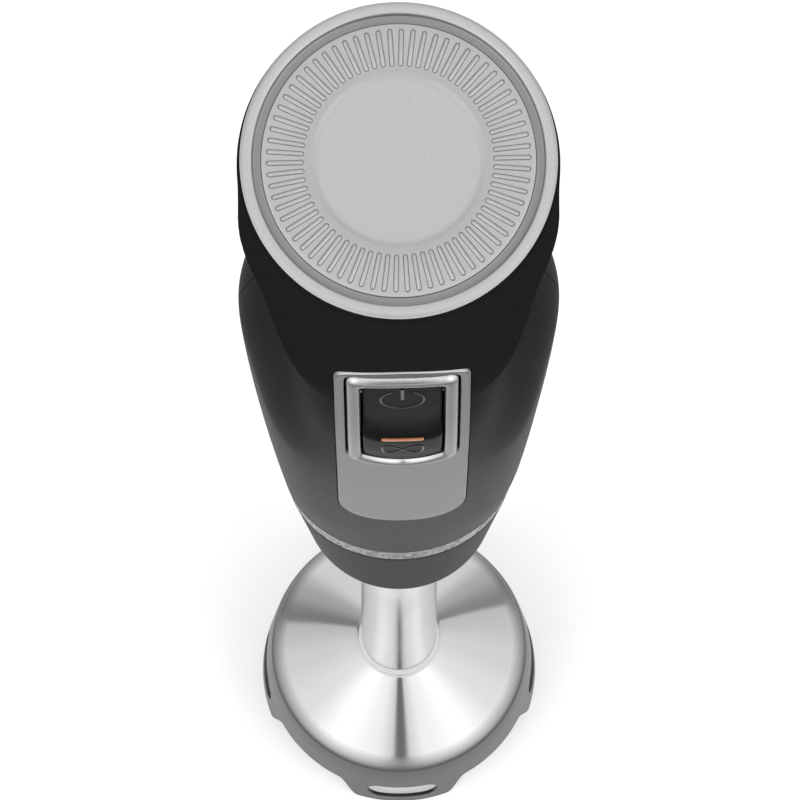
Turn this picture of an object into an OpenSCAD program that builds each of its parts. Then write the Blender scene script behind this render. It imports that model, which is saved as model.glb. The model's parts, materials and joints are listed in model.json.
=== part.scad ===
// Hand blender with a twist-off stainless leg, a slanted speed dial and a two-way rocker button.
// Millimetres. +Z is up along the drive axis, -Y is the front, and the origin is the
// middle of the foot circle on the surface that the blade guard stands on.

/* [Body] */
// Height of the grip, from its foot to the dial seam on the axis
body_length = 199; // [170:1:240]
// Width of the grip across its shoulders
shoulder_width = 66; // [60:0.2:76]
// Distance from the drive axis to the front of the shoulders
shoulder_front = 31.8; // [30:0.1:36]
// Distance from the drive axis to the back of the shoulders
shoulder_rear = 29.6; // [28:0.1:34]
// Height of the shoulders above the foot of the grip
shoulder_height = 123; // [100:1:130]
// Width of the grip at its foot
base_width = 52.4; // [47:0.2:58]
// Depth of the grip at its foot, front to back
base_depth = 43.4; // [43:0.2:50]
// How full the sides are between the foot and the shoulders
side_fullness = 1.35; // [1.1:0.05:2.2]
// How full the front and back are between the foot and the shoulders
front_fullness = 1.85; // [1.1:0.05:2.2]
// Depth of the finger scoops under the head
scoop_depth = 5.2; // [2:0.1:6]
// How much the head narrows beside its front ridge, above the scoops
head_taper = 2.2; // [0:0.1:3]
// Wall of the grip shells
shell_wall = 2.2; // [1.8:0.1:2.6]

/* [Dial] */
// Radius of the silver dial cap
cap_radius = 30.4; // [26:0.1:33]
// Forward slant of the dial
dial_slant = 12; // [6:1:16]
// Thickness of the cap at its rim
cap_thickness = 3; // [2.6:0.1:3.8]
// Height of the black knob below the cap
knob_height = 4.2; // [3.5:0.1:7]
// How much wider the knob is at its foot than the cap
knob_flare = 0.7; // [0.3:0.1:1.5]
// Number of finger ribs on the cap
rib_count = 70; // [24:1:80]

/* [Rocker and trim] */
// Width of the trim plate
plate_width = 27.2; // [24:0.2:30]
// Height of the trim plate's lowest point above the foot of the grip
plate_low = 51; // [40:1:60]
// Height of the trim plate's top above the foot of the grip
plate_high = 162.6; // [160:0.2:168]
// Thickness of the trim plate
plate_thickness = 1.2; // [0.8:0.1:1.6]
// Width of the rocker button
rocker_width = 16.2; // [14:0.2:18]
// Length of the rocker button
rocker_length = 44; // [38:0.2:48]
// Height of the rocker's middle above the foot of the grip
rocker_centre = 135; // [130:0.2:138]
// Width of the bright frame's bar around the rocker
bezel_bar = 2.8; // [2:0.1:3.4]
// Radius of the rocker's pivot pin
pin_radius = 1; // [0.8:0.1:1.4]

/* [Leg] */
// Length of the leg from the surface it stands on to the top of its collar
leg_length = 186.7; // [160:1:230]
// Height of the plastic collar
collar_height = 24.3; // [20:0.1:30]
// Radius of the round foot of the collar
collar_radius = 22.1; // [20.5:0.1:24]
// Radius of the steel tube where it meets the blade guard
tube_radius = 9.5; // [8.5:0.1:11]
// Bore of the steel tube
tube_bore = 8; // [7:0.1:8.2]
// Turn that unlocks the leg
leg_twist = 30; // [20:5:35]

/* [Blade guard] */
// Radius of the foot circle
foot_radius = 35.4; // [32:0.1:45]
// Radius of the guard at the edge of its dome
dome_radius = 32.8; // [29:0.1:42]
// Height of the dome's edge
dome_edge = 22; // [18:0.5:26]
// Height at which the guard meets the tube
guard_height = 34; // [31:0.5:40]
// Wall of the guard
guard_wall = 0.9; // [0.8:0.1:1.4]
// Number of feet around the guard
foot_count = 4; // [3:1:5]
// Height of the skirt's edge between the feet
arch_height = 8.5; // [5:0.5:11]
// Width of each foot where it meets the surface
foot_width = 26; // [22:0.5:30]
// Width of the slot in each foot
slot_width = 18; // [12:0.5:20]
// Height of the slot in each foot
slot_height = 7; // [5:0.5:8]
// Radius that the blade tips sweep
blade_radius = 26.5; // [20:0.5:28]

/* [Drive] */
// Radius of the motor can
motor_radius = 17.2; // [15:0.1:17.6]
// Length of the motor can
motor_length = 46; // [40:0.5:56]
// Radius of the motor shaft
motor_shaft_radius = 2.5; // [2:0.1:3]
// Radius of the blade shaft
blade_shaft_radius = 3; // [2.5:0.1:3.5]
// Radial play of a shaft in its bearing
running_play = 0.05; // [0.02:0.01:0.08]

/* [Light band] */
// Height of the clear band
band_height = 7; // [5:0.1:9]
// Wall of the clear band
band_wall = 2.4; // [1.8:0.1:2.6]

/* [Cord inlet] */
// Bore of the cord inlet
inlet_bore = 3.6; // [3:0.1:4]
// Height of the cord inlet below the top of the grip
inlet_drop = 34; // [26:1:44]

/* [Hidden] */

$fn = 72;
black = [0.10, 0.10, 0.105];
gloss_black = [0.03, 0.03, 0.03];
silver = [0.72, 0.72, 0.72];
steel = [0.62, 0.62, 0.60];
board_green = [0.06, 0.28, 0.16];
eps = 0.01;

// Seams and clearances
seam = 0.3;             // visible gap between bodies that turn against each other
split = 0.04;           // half of the parting gap between the two shells
fit_gap = 0.15;         // gap around the trim in its pocket

// Levels along the drive axis
band_base = leg_length + seam;
body_base = band_base + band_height;
body_top = body_base + body_length;
shoulder_z = body_base + shoulder_height;
collar_base = leg_length - collar_height;

// Dial frame: its origin is the middle of the cap's rim
knob_base = -cap_thickness - knob_height;
dial_z = body_top + (seam - knob_base) / cos(dial_slant);
head_shift = (seam - knob_base) * tan(dial_slant);
head_radius = cap_radius + knob_flare;

module in_dial_frame() { translate([0, 0, dial_z]) rotate([dial_slant, 0, 0]) children(); }

// ---------- shape of the grip ----------

function smooth(t) = let (u = min(max(t, 0), 1)) u * u * (3 - 2 * u);
function mix(a, b, t) = a + (b - a) * t;

// Half-size at level z, swelling from the foot to the shoulders, then easing into the head
function reach(z, foot, shoulder, fullness, dip) =
    z < shoulder_z
        ? foot + (shoulder - foot)
            * (1 - pow(1 - min(max((z - body_base) / shoulder_height, 0), 1), fullness))
        : let (t = min((z - shoulder_z) / (body_top - shoulder_z), 1))
            mix(shoulder, head_radius, smooth(t)) - dip * pow(sin(180 * t), 2);
function reach_side(z) = reach(z, base_width / 2, shoulder_width / 2, side_fullness, 0);
function reach_front(z) = reach(z, base_depth / 2, shoulder_front, front_fullness, 1.6);
function reach_rear(z) = reach(z, base_depth / 2, shoulder_rear, front_fullness, 2.6);

// The front is squarer than an oval where the trim plate lies
trim_azimuth = 30;
function squareness(az, z) =
    2 + smooth((z - body_base) / 50) * smooth((body_top - 15 - z) / 35)
        * (1 - smooth((az - trim_azimuth) / 45));

// Lower edge of the head, which drops from the sides towards the middle of the front
function head_edge(az) = body_top - 28 - 22 * (1 - smooth((az - 25) / 65));

// Finger scoop under that edge: none down the middle of the front, shallow at the back
function scoop(az, z) =
    let (u = head_edge(az) - z)
    scoop_depth * smooth((az - 22) / 30) * (1 - 0.7 * smooth((az - 120) / 50))
        * smooth(u / 8) * (1 - smooth((u - 25) / 25));

// The head narrows a little beside its front ridge, above and into the scoop
function taper(az, z) =
    head_taper * smooth((az - 18) / 32) * (1 - smooth((az - 60) / 30))
        * smooth((body_top - 4 - z) / 42) * (1 - smooth((head_edge(az) - z - 12) / 40));

// Slant and drift of the level planes, which turn into the dial's plane at the top
function turn_in(z) = smooth((z - body_top + 62) / 60);

// Point of the grip at azimuth az from the front (positive towards +X) and level z
function grip_point(az, z, inset) =
    let (n = squareness(abs(az), z),
         a = reach_side(z),
         b = abs(az) <= 90 ? reach_front(z) : reach_rear(z),
         r = pow(pow(abs(sin(az)) / a, n) + pow(abs(cos(az)) / b, n), -1 / n)
             - scoop(abs(az), z) - taper(abs(az), z) - head_shift * turn_in(z) * cos(az) - inset,
         x = r * sin(az), y = -r * cos(az), s = dial_slant * turn_in(z))
    [x, y * cos(s), z + y * sin(s)];

// Closed solid through a list of rings that all have the same number of points
module loft(rings) {
    n = len(rings[0]);
    last = len(rings) - 1;
    points = [for (ring = rings) for (p = ring) p];
    sides = [for (j = [0 : last - 1]) for (i = [0 : n - 1])
        let (a = j * n + i, b = j * n + (i + 1) % n)
        each [[a, a + n, b], [b, a + n, b + n]]];
    foot = [for (i = [0 : n - 1]) i];
    top = [for (i = [n - 1 : -1 : 0]) last * n + i];
    polyhedron(points, concat([foot], sides, [top]), convexity = 6);
}

function steps(first, last, count) = [for (i = [0 : count]) mix(first, last, i / count)];
function outer_levels() = concat(steps(body_base, shoulder_z - 25, 8),
    [for (z = steps(shoulder_z - 25, body_top, 26)) if (z > shoulder_z - 25) z]);

// Half of the grip: side is 1 for the front and -1 for the rear
module grip_half(side, inset, count, levels, overrun) {
    turn = side > 0 ? 0 : 180;
    loft([for (z = levels) concat(
        overrun > 0 ? [grip_edge(turn - 90, z, inset, side * overrun)] : [],
        [for (i = [0 : count]) let (az = turn - 90 + 180 * i / count)
            let (p = grip_point(az > 180 ? az - 360 : az, z, inset))
            [p[0], i == 0 || i == count ? -side * split : p[1], p[2]]],
        overrun > 0 ? [grip_edge(turn + 90, z, inset, side * overrun)] : [])]);
}
function grip_edge(az, z, inset, over) =
    let (p = grip_point(az > 180 ? az - 360 : az, z, inset)) [p[0], over, p[2]];

// Cavity of one half, open at the foot, at the top and across the parting plane
module grip_cavity(side) {
    grip_half(side, shell_wall, 16, concat([body_base - 1],
        steps(body_base + 1, shoulder_z, 7), steps(shoulder_z + 9, body_top + 1, 9)), 1);
}

// Distance of the front surface from the axis plane at x and z
function front_face(x, z) =
    let (n = squareness(0, z), a = reach_side(z), b = reach_front(z))
    b * pow(1 - pow(abs(x) / a, n), 1 / n) - head_shift * turn_in(z);

// Slab that follows the front surface, from depth `under` below it to `over` above it
module front_slab(half, z0, z1, over, under, nx, nz) {
    xs = steps(-half, half, nx);
    loft([for (z = steps(z0, z1, nz)) concat(
        [for (x = xs) [x, -front_face(x, z) - over, z]],
        [for (i = [nx : -1 : 0]) [xs[i], -front_face(xs[i], z) + under, z]])]);
}
module cut_from_front() { rotate([90, 0, 0]) linear_extrude(60) children(); }

// ---------- trim outlines, seen from the front ----------

plate_bottom_z = body_base + plate_low;
plate_top_z = body_base + plate_high;
plate_arc = 20;          // height of the plate's rounded lower end
plate_crown = 3;         // arch of the plate's top edge
rocker_z = body_base + rocker_centre;
rocker_gap = 0.5;        // room around the rocker for its tilt
window_w = rocker_width + 2 * 0.3;
window_l = rocker_length + 2 * rocker_gap;
bezel_w = window_w + 2 * bezel_bar;
bezel_l = window_l + 2 * bezel_bar + 0.6;

module plate_outline(grow) {
    half = plate_width / 2 + grow;
    start = plate_bottom_z + plate_arc;
    polygon(concat(
        [for (t = steps(180, 360, 24)) [half * cos(t), start + (plate_arc + grow) * sin(t)]],
        [[half, plate_top_z - 2.5 + grow]],
        [for (t = steps(0.86, -0.86, 10))
            [half * t, plate_top_z + grow - (plate_crown - 1.2) * t * t]],
        [[-half, plate_top_z - 2.5 + grow]]));
}

// Square-shouldered at the top and arced at the bottom
module rocker_outline(w, l, sag) {
    polygon(concat(
        [for (t = steps(-1, 1, 16)) [w / 2 * t, rocker_z - l / 2 + sag * t * t]],
        [[w / 2, rocker_z + l / 2 - 1.4], [w / 2 - 0.5, rocker_z + l / 2 - 0.4],
         [w / 2 - 1.5, rocker_z + l / 2]],
        [[-w / 2 + 1.5, rocker_z + l / 2], [-w / 2 + 0.5, rocker_z + l / 2 - 0.4],
         [-w / 2, rocker_z + l / 2 - 1.4]]));
}
rocker_sag = 4.5;

// ---------- speed dial ----------

rim_width = 2.2;
groove_width = 1.8;
field_drop = 1.4;
rib_inner = cap_radius - 12.2;
rib_outer = cap_radius - 5.1;
rib_radius = 0.55;

module dial_cap() {
    color(silver) in_dial_frame() union() {
        rotate_extrude() polygon([[0, -cap_thickness], [cap_radius - 0.5, -cap_thickness],
            [cap_radius, -cap_thickness + 0.5], [cap_radius, -0.5], [cap_radius - 0.5, 0],
            [cap_radius - rim_width, 0],
            [cap_radius - rim_width - 0.4, -field_drop - 0.4],
            [cap_radius - rim_width - groove_width, -field_drop - 0.4],
            [cap_radius - rim_width - groove_width - 0.3, -field_drop],
            [rib_inner - 1.5, -field_drop],
            [rib_inner - 2.4, -field_drop - 0.25], [0, -field_drop - 0.25]]);
        for (i = [0 : rib_count - 1]) rotate([0, 0, 360 * i / rib_count])
            translate([rib_inner, 0, -field_drop]) rotate([0, 90, 0])
            cylinder(r = rib_radius, h = rib_outer - rib_inner, $fn = 6);
    }
}

spindle_radius = 3;
deck_top = knob_base - 4.2;
deck_thickness = 2;
deck_shift = head_shift + (deck_top - deck_thickness / 2) * tan(dial_slant);

module dial_knob() {
    floor_top = -cap_thickness - 0.05;
    color(gloss_black) in_dial_frame() difference() {
        union() {
            rotate_extrude() polygon([[0, floor_top - 2], [0, floor_top],
                [cap_radius + 0.1, floor_top], [cap_radius + 0.35, floor_top - 0.4],
                [head_radius, knob_base + 0.5], [head_radius - 0.3, knob_base],
                [head_radius - 2.4, knob_base], [head_radius - 2.9, floor_top - 2]]);
            translate([0, 0, knob_base - 1]) cylinder(r = 6, h = -cap_thickness - 1 - knob_base);
        }
        translate([0, 0, knob_base - 2]) cylinder(r = spindle_radius, h = knob_height - 0.5);
    }
}

module dial_spindle() {
    color(steel) in_dial_frame() translate([0, 0, deck_top - 8])
        cylinder(r = spindle_radius, h = 8 - deck_top + knob_base + knob_height - 2.5);
}

module dial_deck() {
    color(black) in_dial_frame() difference() {
        union() {
            translate([0, deck_shift, deck_top - deck_thickness])
                cylinder(r = head_radius - shell_wall - 1.2, h = deck_thickness);
            translate([0, 0, deck_top - 6]) difference() {
                cylinder(r = head_radius - shell_wall - 6, h = 5);
                translate([0, 0, -eps]) cylinder(r = head_radius - shell_wall - 8, h = 6);
            }
        }
        translate([0, 0, deck_top - 9]) cylinder(r = 3.6, h = 12);
    }
}

module potentiometer() {
    color("dimgray") in_dial_frame() difference() {
        union() {
            translate([-8, -8, deck_top - deck_thickness - 8]) cube([16, 16, 8]);
            translate([0, 0, deck_top - deck_thickness - eps]) cylinder(r = 3.5, h = 5);
        }
        translate([0, 0, deck_top - 9]) cylinder(r = spindle_radius + running_play, h = 15);
    }
}

module potentiometer_nut() {
    color(steel) in_dial_frame() translate([0, 0, deck_top]) difference() {
        cylinder(r = 5.2, h = 2, $fn = 6);
        translate([0, 0, -1]) cylinder(r = 3.5, h = 4);
    }
}

// ---------- grip shells and trim ----------

pocket_depth = plate_thickness + 0.3;

module front_shell() {
    color(black) difference() {
        grip_half(1, 0, 30, outer_levels(), 0);
        grip_cavity(1);
        intersection() {
            front_slab(plate_width / 2 + 1, plate_bottom_z - 1.5, plate_top_z + 1.5,
                3, pocket_depth, 8, 12);
            cut_from_front() plate_outline(fit_gap);
        }
        cut_from_front() rocker_outline(window_w + 0.4, window_l + 0.4, rocker_sag);
    }
}

inlet_z = body_top - inlet_drop;
inlet_seat = 6.4;

module rear_shell() {
    color(black) difference() {
        grip_half(-1, 0, 30, outer_levels(), 0);
        grip_cavity(-1);
        translate([0, 10, inlet_z]) rotate([-90, 0, 0]) cylinder(r = inlet_seat, h = 40);
    }
}

module trim_plate() {
    color(silver) intersection() {
        front_slab(plate_width / 2 + 0.5, plate_bottom_z - 1, plate_top_z + 1,
            0.25, plate_thickness, 8, 14);
        cut_from_front() difference() {
            plate_outline(0);
            rocker_outline(bezel_w + 1, bezel_l + 1, rocker_sag);
        }
    }
}

bezel_proud = 1.6;
module button_bezel() {
    color([0.85, 0.85, 0.85]) intersection() {
        front_slab(bezel_w / 2 + 1, rocker_z - bezel_l / 2 - 1, rocker_z + bezel_l / 2 + 1,
            bezel_proud, plate_thickness, 6, 10);
        cut_from_front() difference() {
            rocker_outline(bezel_w, bezel_l, rocker_sag);
            rocker_outline(window_w, window_l, rocker_sag);
        }
    }
}

// Depth of the rocker's hinge pin behind the front of the shoulders
pin_depth = 8.2;
pin_y = -(shoulder_front - pin_depth);
crest_z = rocker_z - 7;
crest_y = -front_face(0, crest_z) - 1.1;
rocker_back = pin_y - 1.6;
strip_depth = 1;

// Rocker, seen from the side: a pad for the thumb, a ramp up to a crest, and a lower pad
module rocker_side_outline() {
    top = rocker_z + rocker_length / 2;
    low = rocker_z - rocker_length / 2;
    polygon([[rocker_back, low], [-front_face(0, low) - 0.2, low],
        [-front_face(0, low) - 0.8, low + 1], [crest_y + 0.1, crest_z - 2.4], [crest_y, crest_z - 1],
        [crest_y + 0.4, crest_z + 0.6],
        [crest_y + 2.2, crest_z + 7], [-front_face(0, top) + 1.0, crest_z + 15],
        [-front_face(0, top) + 0.4, top - 6], [-front_face(0, top), top],
        [rocker_back, top]]);
}

module rocker_button() {
    color(gloss_black) difference() {
        union() {
            intersection() {
                translate([-20, 0, 0]) rotate([90, 0, 90]) linear_extrude(40)
                    rocker_side_outline();
                cut_from_front() rocker_outline(rocker_width, rocker_length, rocker_sag);
            }
            translate([-rocker_width / 2 + 0.6, rocker_back - eps, rocker_z - 3])
                cube([rocker_width - 1.2, 4.6, 6]);
        }
        translate([-20, pin_y, rocker_z]) rotate([0, 90, 0])
            cylinder(r = pin_radius + running_play, h = 40);
        translate([-2.4, rocker_back - 1.8, rocker_z - 3.5]) cube([4.8, 8, 7]);
        translate([-4, crest_y - 1, crest_z - 1.1]) cube([8, 1 + strip_depth, 1]);
    }
}

module indicator_strip() {
    color([0.9, 0.45, 0.15]) translate([-4, crest_y, crest_z - 1.1]) cube([8, strip_depth, 1]);
}

ear_inner = rocker_width / 2 + 0.7;
ear_thick = 1.8;
board_width = 2 * ear_inner - 1;
frame_width = 2 * (ear_inner + ear_thick);

module rocker_pin() {
    color(steel) translate([-ear_inner - ear_thick, pin_y, rocker_z]) rotate([0, 90, 0])
        cylinder(r = pin_radius, h = 2 * (ear_inner + ear_thick));
}

// Torsion spring in the rocker's middle slot
module rocker_spring() {
    color("silver") for (x = [-1.6, -0.5, 0.6]) translate([x, pin_y, rocker_z])
        rotate([0, 90, 0]) difference() {
            cylinder(r = pin_radius + 0.75, h = 0.8);
            translate([0, 0, -1]) cylinder(r = pin_radius + 0.1, h = 3);
        }
}

board_y = pin_y + 7.4;
board_length = 58;
screw_inset = 4;

module control_board() {
    color(board_green) translate([-board_width / 2, board_y, rocker_z - board_length / 2])
        difference() {
            cube([board_width, 1.6, board_length]);
            for (x = [screw_inset, board_width - screw_inset], z = [3, board_length - 3])
                translate([x, -1, z]) rotate([-90, 0, 0]) cylinder(r = 1.1, h = 4);
        }
    color("dimgray") for (x = [-8, 2]) translate([x, board_y - 2, rocker_z - 24]) cube([6, 2, 4]);
}

switch_pitch = 28;
module microswitches() {
    color("gray") for (z = [-switch_pitch / 2, switch_pitch / 2])
        translate([0, board_y, rocker_z + z]) {
            translate([-3, -4.6, -3]) cube([6, 4.6, 6]);
            rotate([90, 0, 0]) cylinder(r = 1.6, h = 6.6);
        }
}

frame_y = board_y + 1.6;
module board_frame() {
    color([0.25, 0.25, 0.26]) difference() {
        union() {
            translate([-frame_width / 2, frame_y, rocker_z - board_length / 2 - 3])
                cube([frame_width, 2.4, board_length + 6]);
            for (s = [-1, 1]) translate([s > 0 ? ear_inner : -ear_inner - ear_thick,
                pin_y - 2.6, rocker_z - 4]) cube([ear_thick, frame_y - pin_y + 3.6, 8]);
        }
        translate([-20, pin_y, rocker_z]) rotate([0, 90, 0]) cylinder(r = pin_radius, h = 40);
        for (x = [-1, 1], z = [-1, 1])
            translate([x * (board_width / 2 - screw_inset), frame_y - 1, rocker_z + z * (board_length / 2 - 3)])
                rotate([-90, 0, 0]) cylinder(r = 0.9, h = 6);
    }
}

module board_screws() {
    color(steel) for (x = [-1, 1], z = [-1, 1])
        translate([x * (board_width / 2 - screw_inset), board_y, rocker_z + z * (board_length / 2 - 3)])
            rotate([-90, 0, 0]) {
                cylinder(r = 0.9, h = 3.8);
                translate([0, 0, -1.2]) cylinder(r = 1.9, h = 1.2);
            }
}

// ---------- cord inlet ----------

inlet_face = reach_rear(inlet_z) + 2.6;
inlet_length = 12;
module cord_gland() {
    color(black) translate([0, inlet_face, inlet_z]) rotate([90, 0, 0]) difference() {
        union() {
            rotate_extrude() polygon([[0, 0], [inlet_seat - 1.4, 0], [inlet_seat - 0.05, 1.8],
                [inlet_seat - 0.05, inlet_length], [0, inlet_length]]);
            translate([0, 0, inlet_length - 3]) cylinder(r = inlet_seat + 1.4, h = 1.6);
        }
        translate([0, 0, -1]) cylinder(r = inlet_bore, h = inlet_length + 2);
    }
}

// Two-post clamp that will grip a cord just inside the inlet
module cord_clamp() {
    color([0.25, 0.25, 0.26]) translate([0, inlet_face - inlet_length - 4, inlet_z - 8]) difference() {
        translate([-9, -3, 0]) cube([18, 6, 4.2]);
        for (x = [-6.5, 6.5]) translate([x, 0, -1]) cylinder(r = 1.2, h = 8);
    }
}

// ---------- clear band and its lights ----------

function oval_ring(side, depth, z, inset) =
    [for (i = [0 : 47]) let (t = 7.5 * i) [(side - inset) * sin(t), -(depth - inset) * cos(t), z]];
collar_side = base_width / 2 - 0.7;
collar_depth = base_depth / 2 - 0.4;

module light_ring() {
    color([0.9, 0.92, 0.94, 0.5]) difference() {
        loft([oval_ring(collar_side, collar_depth, band_base, 0),
            oval_ring(base_width / 2, base_depth / 2, body_base - eps, 0)]);
        loft([oval_ring(collar_side, collar_depth, band_base - 1, band_wall),
            oval_ring(base_width / 2, base_depth / 2, body_base + 1, band_wall)]);
    }
}

spigot_radius = 15.4;
led_board_radius = base_depth / 2 - band_wall - 0.6;
module led_board() {
    color(board_green) translate([0, 0, body_base - 1.8]) difference() {
        cylinder(r = led_board_radius, h = 1.6);
        translate([0, 0, -1]) cylinder(r = spigot_radius + 0.1, h = 4);
    }
    color("white") for (i = [0 : 7]) rotate([0, 0, 45 * i + 22.5])
        translate([spigot_radius + 0.6, -1.2, body_base - 2.8]) cube([1.6, 2.4, 1]);
}

// ---------- twist lock ----------

spigot_wall = 2.4;
lock_depth = 17;         // how far the spigot reaches into the collar
lug_height = 3;
lug_reach = 1.4;
lug_angle = 28;
bracket_thickness = 3;
screw_pitch = 10;
screw_radius = 1.4;
lock_base = leg_length - lock_depth;
lock_floor = lock_base - 0.5;

module bayonet_lugs(reach, low, high, angle, start) {
    for (i = [0 : 2]) rotate([0, 0, 120 * i + start]) rotate_extrude(angle = angle)
        translate([spigot_radius - 0.6, low]) square([reach + 0.6, high - low]);
}

module drive_bracket() {
    color([0.25, 0.25, 0.26]) difference() {
        union() {
            translate([0, 0, lock_base]) cylinder(r = spigot_radius, h = body_base - lock_base + 2);
            translate([0, 0, body_base + 0.2])
                cylinder(r = base_depth / 2 - shell_wall - 0.4, h = bracket_thickness);
            bayonet_lugs(lug_reach, lock_base + 1.5, lock_base + 1.5 + lug_height, lug_angle, 0);
        }
        translate([0, 0, lock_base - 1])
            cylinder(r = spigot_radius - spigot_wall, h = body_base - lock_base);
        translate([0, 0, body_base - 5]) cylinder(r = 6.8, h = 20);
        for (s = [-1, 1]) translate([s * screw_pitch, 0, body_base - 3])
            cylinder(r = screw_radius + 0.1, h = 20);
    }
}

module bracket_screws() {
    color(steel) for (s = [-1, 1]) translate([s * screw_pitch, 0, body_base - 1]) {
        translate([0, 0, -1.8]) cylinder(r = 2.4, h = 1.8);
        cylinder(r = screw_radius, h = bracket_thickness + 3.4);
    }
}

module bayonet_ring() {
    ring_top = leg_length - 1;
    color([0.25, 0.25, 0.26]) difference() {
        translate([0, 0, lock_floor]) cylinder(r = collar_bore, h = ring_top - lock_floor);
        translate([0, 0, lock_base - 1]) cylinder(r = spigot_radius + running_play, h = lock_depth + 4);
        bayonet_lugs(lug_reach + 0.3, lock_base + 1.3, lock_base + 1.7 + lug_height,
            lug_angle + leg_twist + 2, -leg_twist - 1);
        bayonet_lugs(lug_reach + 0.3, lock_base + 1.3, leg_length + 1,
            lug_angle + 2, -leg_twist - 1);
    }
}

// ---------- motor ----------

motor_base = body_base + bracket_thickness + 2.2;
motor_top = motor_base + motor_length;
can_wall = 1.2;
bearing_radius = 6.5;
bearing_width = 4;
cap_height = 12;

module motor_damper() {
    color([0.15, 0.15, 0.15]) translate([0, 0, body_base + 0.2 + bracket_thickness]) difference() {
        cylinder(r = motor_radius, h = motor_base - body_base - 0.2 - bracket_thickness);
        translate([0, 0, -1]) cylinder(r = motor_radius - 3, h = 6);
    }
}

module motor_can() {
    color(steel) difference() {
        union() {
            translate([0, 0, motor_base]) cylinder(r = motor_radius, h = motor_length);
        }
        translate([0, 0, motor_base + can_wall + bearing_width])
            cylinder(r = motor_radius - can_wall, h = motor_length);
        translate([0, 0, motor_base - 1]) cylinder(r = 4, h = 6);
        translate([0, 0, motor_base + can_wall]) cylinder(r = bearing_radius, h = 20);
        for (s = [-1, 1]) translate([s * screw_pitch, 0, motor_base - 1])
            cylinder(r = screw_radius, h = 4.4);
        for (i = [0 : 5]) rotate([0, 0, 60 * i + 30])
            translate([motor_radius - 3, -2, motor_top - 9]) cube([6, 4, 6]);
    }
}

module bearing(z) {
    color("silver") translate([0, 0, z]) difference() {
        cylinder(r = bearing_radius, h = bearing_width);
        translate([0, 0, -1]) cylinder(r = motor_shaft_radius + running_play, h = 8);
    }
}
module lower_bearing() { bearing(motor_base + can_wall); }
module upper_bearing() { bearing(motor_top + cap_height - bearing_width); }

magnet_thick = 3.8;
module field_magnets() {
    color([0.18, 0.18, 0.2]) for (t = [25, 205]) rotate([0, 0, t])
        translate([0, 0, motor_base + 7]) rotate_extrude(angle = 130)
        translate([motor_radius - can_wall - magnet_thick, 0]) square([magnet_thick, 30]);
}

brush_z = motor_top + 3;
commutator_radius = 5.5;
module brush_cap() {
    color([0.3, 0.3, 0.32]) difference() {
        translate([0, 0, motor_top]) cylinder(r = motor_radius, h = cap_height);
        translate([0, 0, motor_top - 1])
            cylinder(r = motor_radius - 2.2, h = cap_height - bearing_width);
        translate([0, 0, motor_top + cap_height - bearing_width]) cylinder(r = bearing_radius, h = 9);
        translate([0, 0, motor_top]) cylinder(r = bearing_radius - 1, h = cap_height);
        for (t = [0, 180]) rotate([0, 0, t])
            translate([motor_radius - 4, -2.2, brush_z - 0.2]) cube([6, 4.4, 4.4]);
    }
}

brush_gap = 0.1;
module carbon_brushes() {
    color([0.12, 0.12, 0.12]) for (t = [0, 180]) rotate([0, 0, t])
        translate([commutator_radius + brush_gap, -2, brush_z]) cube([6, 4, 4]);
}

module brush_springs() {
    color("silver") for (t = [0, 180]) rotate([0, 0, t])
        translate([commutator_radius + brush_gap + 6, 0, brush_z + 2]) rotate([0, 90, 0])
        difference() {
            cylinder(r = 1.6, h = 3.8);
            translate([0, 0, -1]) cylinder(r = 1.1, h = 6);
        }
}

shaft_bottom = leg_length - 8.4;
module motor_shaft() {
    color(steel) translate([0, 0, shaft_bottom])
        cylinder(r = motor_shaft_radius, h = motor_top + cap_height + 13 - shaft_bottom);
}

module on_shaft(z, r, h) {
    translate([0, 0, z]) difference() {
        cylinder(r = r, h = h);
        translate([0, 0, -1]) cylinder(r = motor_shaft_radius, h = h + 2);
    }
}

armature_radius = motor_radius - can_wall - magnet_thick - 0.7;
module armature() {
    color([0.55, 0.36, 0.2]) union() {
        difference() {
            on_shaft(motor_base + 11, armature_radius, 24);
            for (i = [0 : 4]) rotate([0, 0, 72 * i])
                translate([armature_radius - 1.2, -1, motor_base + 10]) cube([4, 2, 26]);
        }
        on_shaft(motor_base + 7.5, armature_radius - 2, 4);
        on_shaft(motor_base + 34.5, armature_radius - 2, 5);
    }
}
module commutator() {
    color([0.7, 0.45, 0.25]) on_shaft(motor_base + 40.5, commutator_radius, motor_top + 7.4 - motor_base - 40.5);
}

fan_radius = 15;
module cooling_fan() {
    z = motor_top + cap_height + 1.5;
    color([0.85, 0.85, 0.8]) union() {
        on_shaft(z, fan_radius, 1.4);
        on_shaft(z, 5, 9);
        for (i = [0 : 8]) rotate([0, 0, 40 * i]) translate([4.6, -0.6, z + 1])
            cube([fan_radius - 5, 1.2, 6]);
    }
}

dog_radius = 5;
socket_gap = 0.2;
module drive_dog() {
    color([0.8, 0.8, 0.78]) translate([0, 0, shaft_bottom]) difference() {
        cylinder(r = dog_radius, h = 11, $fn = 6);
        translate([0, 0, -1]) cylinder(r = motor_shaft_radius, h = 14);
    }
}

// ---------- leg ----------

collar_bore = 19.2;
tube_top = collar_base + 4.4;

// The collar seal sits between the leg and the clear band, fixed to the band
module collar_seal() {
    color([0.1, 0.1, 0.1]) translate([0, 0, leg_length - 0.6]) difference() {
        cylinder(r = spigot_radius + 2, h = band_base + 0.4 - leg_length + 0.6);
        translate([0, 0, -1]) cylinder(r = spigot_radius + eps, h = 6);
    }
}

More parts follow.
